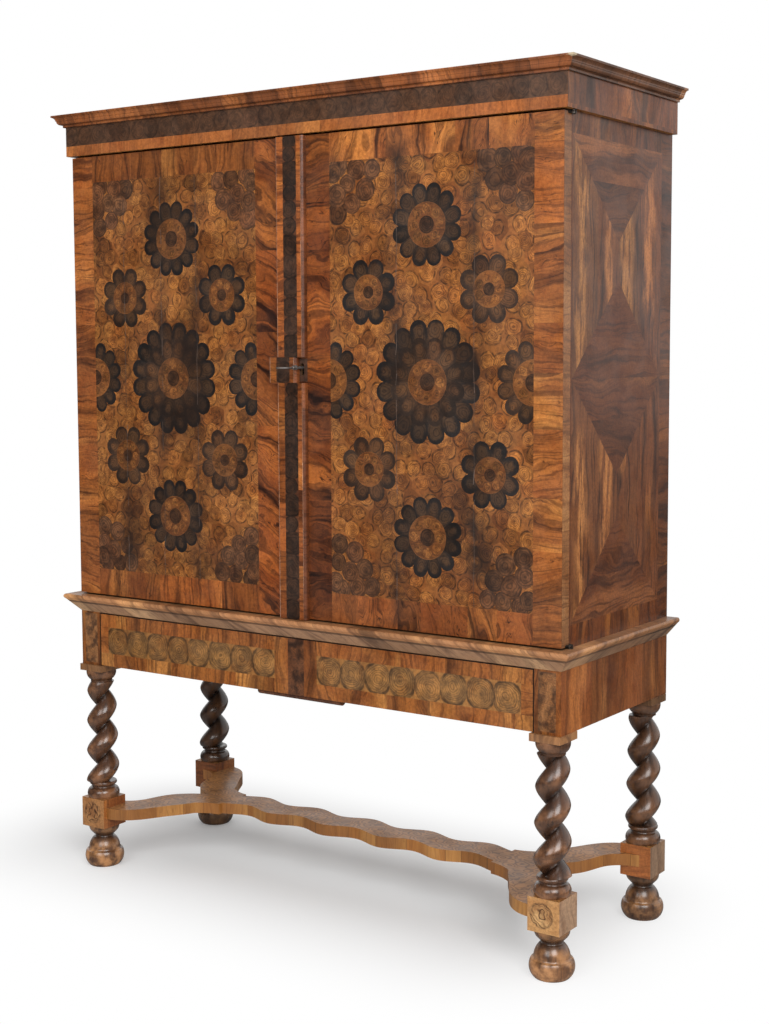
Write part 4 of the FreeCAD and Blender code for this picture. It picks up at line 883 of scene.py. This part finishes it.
def lay_sides():
    """The sides of the case, stand and cornice, and the outer edges of the doors."""
    for number, hand in enumerate(("left", "right")):
        chance = random.Random(51 + number)
        node = "case_side_" + hand
        lay_side("case_side_veneer_" + hand, case_side_leaves(53 + number, node), hand, node)
        node = "stand_side_" + hand
        _, foot, back, _ = face_of(node, 1)
        front, head = front_of("stand_front_frame"), face_of("waist_moulding_" + hand)[1] - UNDER_WAIST
        leaves = cross_band(chance, front, foot, back, head, False, 50, 130, "stand_crossbanding", (0.2, 0.7),
                            (0.3, 0.8))
        lay_side("stand_side_veneer_" + hand, leaves, hand, node)
        front, foot, back, head = face_of("cornice_frieze", 1)
        lip, wood = foot + 8, "side_crossbanding"
        leaves = bands(chance, (front, lip, back, head, False, 35, 85, wood, (0.1, 0.95), (0.1, 0.7)),
                       (front, foot, back, lip, False, 60, 120, wood, (0.5, 0.8)))
        lay_side("frieze_side_veneer_" + hand, leaves, hand, "cornice_frieze")
        node = hand + "_door_board"
        leaves = cross_band(chance, *face_of(node, 1), True, 120, 300, "edge_veneer", (0.3, 0.7), (0, 0.3))
        lay_side(hand + "_door_edge_veneer", leaves, hand, node, hand + "_door")


def lay_frieze():
    """A row of dark oysters over a lighter band."""
    chance = random.Random(61)
    _, foot, end, head = face_of("cornice_frieze")
    row_foot, count = 1729, 32
    leaves = cross_band(chance, -end, foot, end, row_foot, False, 60, 170, "frieze_banding", (0.4, 0.85),
                        (0.3, 0.7))
    wide = 2 * end / count
    for number in range(count):
        u = -end + 2 * end * number / count
        heart = (u + wide / 2 + chance.uniform(-2, 2), (row_foot + head) / 2)
        leaves.append(Leaf(tile(u, row_foot, u + wide, head), "frieze_oysters", heart, (0, 1), wide * 0.52,
                           tone(chance, (0.35, 0.8))))
    lay_front("frieze_front_veneer", leaves, "cornice_frieze")


def lay_blocks():
    """Burr leaves on the fronts and backs of the front leg blocks, and short crossbanded leaves on the rest."""
    for number, corner in enumerate(("front_left", "front_right", "back_left", "back_right")):
        node = "block_" + corner
        chance = random.Random(71 + number)
        for side, ends in enumerate((("front", "back"), ("left", "right"))):
            u0, foot, u1, head = face_of(node, side)
            for end, name in enumerate(ends):
                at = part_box(node)[end][1 - side] / MM + (-PROUD, PROUD)[end]
                face = (front_face, side_face)[side](at, (1, -1)[end])
                if side == 0:
                    heart = ((u0 + u1) / 2 + chance.uniform(-5, 5), (foot + head) / 2 + chance.uniform(-4, 4))
                    look = ((0.25, 0.75)[number % 2], chance.random(), (0.8, 0)[number % 2])
                    leaves = [Leaf(tile(u0, foot, u1, head), "block_burr", heart, (0.96, 0.28), 26, look)]
                    if number > 1:
                        leaves = cross_band(chance, u0, foot, u1, head, True, 20, 40, "stand_crossbanding",
                                            ((0.1, 0.5), (1.15, 1.45))[number - 2])
                else:
                    wood = ("stand_crossbanding", "block_crossbanding")[number % 2]
                    leaves = cross_band(chance, u0, foot, u1, head, False, 60, 90, wood,
                                        ((0.6, 0.9), (0.65, 0.95), (0.1, 0.4), (0.3, 0.7))[number])
                lay_veneer("block_%s_veneer_%s" % (corner, name), leaves, face, BLOCK_SHEET_THICK, "root")


for lay in (lay_doors, lay_strip, lay_stand_front, lay_sides, lay_frieze, lay_blocks):
    lay()


# Finishes of the carried-over pieces

ZONE_EDGE, JOINT_WIDTH = 0.0006, 0.0009
LEG_X, LEG_FRONT, LEG_SPAN = 0.625, 0.17345, 0.40855
NEAR_CORNER, CHIP_FOOT = (0.9150, 0.9180), (1.7930, 1.7950)


def joints_along(run, pieces_per_metre):
    """Cuts a long run of veneer into leaves: each leaf's own number, and the dark joints between them."""
    feeds = {"W": run, "Scale": pieces_per_metre}
    leaf = wire("TexVoronoi", feeds, "Color", voronoi_dimensions="1D")
    edge = wire("TexVoronoi", feeds, "Distance", voronoi_dimensions="1D", feature="DISTANCE_TO_EDGE")
    return wire("SeparateColor", {0: leaf}), step(edge, 0, JOINT_WIDTH * pieces_per_metre, 1, 0)


def band_finish(name, order, pieces_per_metre, *tints, flame=0.6, lines=0.55, lean=0, zones=(), spread=0.5,
                back=1, left=1, chipped=0):
    """Cross-grained veneer along a moulding or an edge: order names its grain, its run and its depth, and back
    and left paint shade on the back and left sides.
    """
    (x, y, z), place = start(name)
    along, run, deep = in_order((x, y, z), order)
    run = run + along * lean
    number, joint = joints_along(run, pieces_per_metre)
    tint, height = grained(join(along, run, deep), number, *tints, flame=flame, lines=lines)
    tint = shade(tint, number * spread + (1 - spread / 2))
    # Painted shade: darker toward the back by the factor back and toward the left by the factor left
    tint = shade(tint, step(y, -0.02, 0.02, 1, back) * step(x, -0.1, 0.1, left, 1))
    # Zones multiply bands of height; some are painted shade in grooves and under a bead
    for low, high, factors, amount in zones:
        inside = step(z, low - ZONE_EDGE, low + ZONE_EDGE) * step(z, high - ZONE_EDGE, high + ZONE_EDGE, 1, 0)
        tint = blend(inside * amount, tint, factors, "MULTIPLY")
    tint = blend(joint * 0.75, tint, (30, 18, 12))
    corner = x - y + (cloud(place, 90, 3) - 0.5) * 0.02
    chip = step(corner, *NEAR_CORNER) * step(z, *CHIP_FOOT)
    tint = blend(chip * chipped, tint, (186, 168, 138))
    finished(dirtied(tint, place, 0.35, 0.5), place, height)


def turned_finish(name, tints, light, worn_and_lit, neck=1):
    """Turned walnut: long grain, painted shade in the hollows, crests lighter with wear and with painted light,
    painted shade on the back legs and feet, and darker at a foot's neck.
    """
    (x, y, z), place = start(name)
    back = step(y, 0.02, 0.04)
    out = length(join(abs(x) - LEG_X, y - (back * LEG_SPAN - LEG_FRONT)))
    tint, height = grained(join(z, x + y, x - y), 0.37, *tints, flame=0.8, lines=0.5, wild=0.7)
    cloudy = step(cloud(place, 34, 3, 0.6), 0.36, 0.66)
    # Crests lighter: wear plus painted light where the twist's crests are lit
    tint = blend(step(out, 0.025, 0.040) * cloudy * worn_and_lit, tint, light)
    # Painted shade in the hollows between the twist's ropes
    tint = blend(step(out, 0.012, 0.026, 1, 0) * 0.7, tint, (28, 17, 12))
    # Painted shade on the back legs and feet, deepest at the back left
    tint = shade(tint, 1 - back * step(x, -0.1, 0.1, 0.66, 0.28))
    tint = shade(tint, step(z, 0.060, 0.072, 1, neck))
    finished(tint, place, height, 0.38, 0.24, 1, 0.23, 0.0003)


def burr_top_finish(name, pale, dark, edge_tints, pieces_per_metre):
    """A stretcher: burr oysters on top, crossbanding round the edge."""
    (x, y, z), place = start(name)
    burr = group(burr_figure, Place=join(x, y), Size=1.3)
    top = blend(burr["Swirl"] * 0.7, pale, dark)
    top = blend(burr["Eyes"] * 0.5, top, dark)
    top = blend(burr["Patch"] * 0.6, top, (0.55, 0.55, 0.55, 1), "MULTIPLY")
    number, joint = joints_along(x + y * 0.83, pieces_per_metre)
    side, _ = grained(join(z, x, y), number, *edge_tints, flame=0.35, lines=0.25, wild=0.6, contour=0.3)
    side = blend(joint * 0.8, shade(side, number * 0.35 + 0.8), (52, 30, 18))
    up = split(wire("TexCoord", out="Normal"))[2]
    tint = blend(step(up, 0.6, 0.75), side, top)
    tint = blend(step(up, -0.75, -0.6, 1, 0), tint, (92, 66, 44))
    finished(dirtied(tint, place, 0.35, 0.55), place, burr["Swirl"] * -0.2, 0.48, 0.30)


def board_finish(name, order, boards_per_metre, *tints):
    """Plain inside boards: old and dry, with seams between them."""
    spot, place = start(name)
    number, joint = joints_along(in_order(spot, order)[1] + 3.3, boards_per_metre)
    tint, height = grained(join(*in_order(spot, order)), number, *tints, flame=0.35, lines=0.4, wild=0.4)
    tint = blend(joint * 0.85, shade(tint, number * 0.35 + 0.82), (26, 18, 12))
    finished(dirtied(tint, place, 0.45, 0.5), place, height, 0.82, 0.62, 0, relief=0.0008)


def iron_finish(name, bright, dark, rust_tint, rusted, least_metal=0.2, most_metal=0.85):
    """Worn metal with rust, which is duller and less metallic."""
    _, place = start(name)
    scale = cloud(place, 120, 4, 0.65)
    rust = step(cloud(place, 45, 4, 0.7), 0.52, 0.68)
    tint = blend(rust * rusted, blend(step(scale, 0.35, 0.7), bright, dark), rust_tint)
    feed_shader(Metallic=step(rust, 0.1, 0.9, most_metal, least_metal))
    finished(tint, place, scale * 0.9, 0.52, 0.30, 0, relief=0.0006)


LIGHT_BAND = (184, 130, 68), (162, 106, 50), (98, 58, 28)
OAK = (150, 112, 74), (122, 88, 56), (78, 52, 32)
WAIST = (206, 164, 122), (170, 131, 99), (82, 60, 49)
# The waist's second zone and the crown's zones are painted shade, under the bead and in the grooves
WAIST_ZONES = (0.6535, 0.67, (1.25, 1.02, 0.78, 1), 1), (0.6485, 0.6535, (0.35, 0.32, 0.3, 1), 0.9)
GROOVE_SHADE = (0.4, 0.35, 0.32, 1)
CROWN_ZONES = (1.7725, 1.7742, GROOVE_SHADE, 0.9), (1.7785, 1.7800, GROOVE_SHADE, 0.9), (1.7968, 1.7984, GROOVE_SHADE, 0.8)
turned_finish("twisted_walnut", ((118, 79, 51), (90, 58, 38), (46, 30, 22)), (160, 110, 74), 0.78)
turned_finish("foot_walnut", ((156, 106, 66), (106, 69, 43), (38, 25, 18)), (204, 146, 94), 0.85, 0.62)
band_finish("crown_front_banding", "zxy", 8, (182, 110, 58), (150, 86, 44), (74, 41, 24), zones=CROWN_ZONES,
            chipped=1)
band_finish("crown_side_banding", "zyx", 8, (160, 110, 74), (130, 86, 58), (70, 46, 33), zones=CROWN_ZONES,
            chipped=1)
for edge_name, axes, slope in (("waist_front_banding", "zxy", 0.9), ("waist_side_banding", "zyx", -0.9)):
    band_finish(edge_name, axes, 5, *WAIST, flame=0.7, lines=0.35, lean=slope, zones=WAIST_ZONES, spread=0.35)
# The caps get painted shade at the back and on the left
band_finish("cap_banding", "zxy", 9, (206, 152, 102), (172, 122, 78), (92, 62, 42), spread=0.4, back=0.42,
            left=0.62)
band_finish("grip_banding", "zxy", 6, (120, 72, 42), (96, 54, 30), (50, 28, 18))
band_finish("strip_edge_banding", "xzy", 9, (136, 76, 40), (112, 60, 30), (60, 32, 18), flame=0.4)
band_finish("plain_front_veneer", "zxy", 8, *LIGHT_BAND)
band_finish("plain_side_veneer", "zyx", 8, (142, 96, 60), (104, 66, 42), (54, 34, 23))
burr_top_finish("stretcher_burr", (180, 124, 70), (110, 69, 36), LIGHT_BAND, 13)
board_finish("upright_oak", "zxy", 6, *OAK)
board_finish("long_oak", "xyz", 7, *OAK)
board_finish("deep_oak", "yxz", 6, *OAK)
iron_finish("forged_iron", (92, 86, 80), (52, 46, 42), (84, 52, 34), 0.7)
iron_finish("worn_key_steel", (136, 130, 126), (88, 82, 78), (84, 66, 54), 0.5, 0.2, 0.55)
iron_finish("browned_plate", (90, 62, 48), (62, 45, 36), (76, 46, 32), 0.6, 0.05, 0.2)

CARRIED = {"turned_walnut": "twisted_walnut", "stretcher_veneer": "stretcher_burr",
           "side_veneer": "plain_side_veneer", "oyster_veneer": "plain_front_veneer",
           "cross_grain_moulding": "crown_front_banding", "carcase_oak": "long_oak",
           "wrought_iron": "forged_iron"}
CARRIED_BY_NAME = {
    "crown_side_banding": "crown_moulding_left crown_moulding_right",
    "waist_front_banding": "waist_moulding_front",
    "waist_side_banding": "waist_moulding_left waist_moulding_right",
    "cap_banding": "leg_caps",
    "grip_banding": "drawer_grip",
    "strip_edge_banding": "astragal keyhole_cover",
    "upright_oak": "case_back_boards left_door_board right_door_board",
    "deep_oak": "drawer_bottom drawer_side_left drawer_side_right drawer_runners",
    "foot_walnut": "foot_front_left foot_front_right foot_back_left foot_back_right",
    "worn_key_steel": "key",
    "browned_plate": "keyhole_plate",
}
BY_NODE = {node: finish for finish, pieces in CARRIED_BY_NAME.items() for node in pieces.split()}
for row in frame["record"]["subparts"]:
    materials = nodes[row["node"]].data.materials
    materials.clear()
    materials.append(FINISHES[BY_NODE.get(row["node"], CARRIED[row["material_slot"]])])


# Floor, lamps and camera

WHITE = (1, 1, 1, 1)


def white_room():
    """A white room that is seen brighter than it lights, with a soft glow behind for the polish to mirror."""
    world = bpy.data.worlds.new("studio")
    scene.world = world
    world.use_nodes = True
    Wire.tree = world.node_tree
    path = {socket.name: Wire(socket) for socket in add("LightPath").outputs}
    _, y, z = split(wire("TexCoord", out="Generated"))
    glow = step(y, -0.2, 0.5) * step(z, -0.15, -0.04, 0.08, 0.62)
    level = path["Is Diffuse Ray"] * 0.55 + path["Is Glossy Ray"] * (glow + 0.05)
    ground = world.node_tree.nodes["Background"]
    feed(ground.inputs["Strength"], maths("ADD", level, path["Is Camera Ray"], True))
    feed(ground.inputs["Color"], WHITE)


def pale_floor():
    """A pale floor that fades into the room round the cabinet, and looks darker in the polish."""
    bpy.ops.mesh.primitive_plane_add(size=40)
    floor = bpy.context.object
    floor.name = "studio_floor"
    (x, y, _), place = start("floor_paint")
    mirrored = shade((1, 0.97, 0.94, 1), step(length(place), 0.8, 1.6, 0.28, 0.06))
    pale = blend(wire("LightPath", out="Is Glossy Ray"), (0.93, 0.93, 0.93, 1), mirrored)
    feed_shader(Base_Color=pale, Roughness=0.9, Specular_IOR_Level=0.1)
    glow = wire("Emission", {"Color": WHITE, "Strength": 1})
    beyond_x = maths("MAXIMUM", abs(x + 0.18) - 0.55)
    beyond_y = maths("MAXIMUM", abs(y - 0.08) - 0.12)
    far = step(length(join(beyond_x, beyond_y)), -0.1, 0.50)
    seen = wire("LightPath", out="Is Camera Ray") * far
    painted = Wire(Wire.tree.nodes["Principled BSDF"].outputs[0])
    mix = wire("MixShader", {0: seen, 1: painted, 2: glow})
    feed(Wire.tree.nodes["Material Output"].inputs["Surface"], mix)
    floor.data.materials.append(FINISHES["floor_paint"])


def lamps():
    """A large soft lamp high on the front right, and a fill lamp in front."""
    aim = Vector((0, 0, 0.9))
    for name, place, size, power in (("main_lamp", Vector((3.5, -3, 3.3)), 2.7, 130),
                                     ("front_fill", Vector((0.4, -4.6, 2.6)), 2.6, 66)):
        lamp = bpy.data.lights.new(name, "AREA")
        lamp.size, lamp.energy = size, power
        holder = placed(name, lamp)
        holder.location = place
        holder.rotation_euler = (aim - place).to_track_quat("-Z", "Y").to_euler()


def camera():
    """Seen from the front right at eye height, with the picture's middle shifted like a view camera's."""
    yaw, pitch, roll = 0.60298, -0.08660, -0.00293
    focal_length, middle_x, middle_y = 1575.83, 403.54, 484.90
    half_width, half_height, long_side, sensor = 384.5, 512, 1024, 36
    lens = bpy.data.cameras.new("camera")
    holder = placed("camera", lens)
    holder.matrix_world = (Matrix.Translation((2.11977, -2.86398, 1.25489)) @ Matrix.Rotation(yaw, 4, "Z")
                           @ Matrix.Rotation(pi / 2 + pitch, 4, "X") @ Matrix.Rotation(roll, 4, "Z"))
    lens.sensor_width = sensor
    lens.lens = focal_length * sensor / long_side
    lens.shift_x = -(middle_x - half_width) / long_side
    lens.shift_y = -(half_height - middle_y) / long_side
    scene.camera = holder


white_room()
pale_floor()
lamps()
camera()
scene.view_settings.view_transform = "Standard"
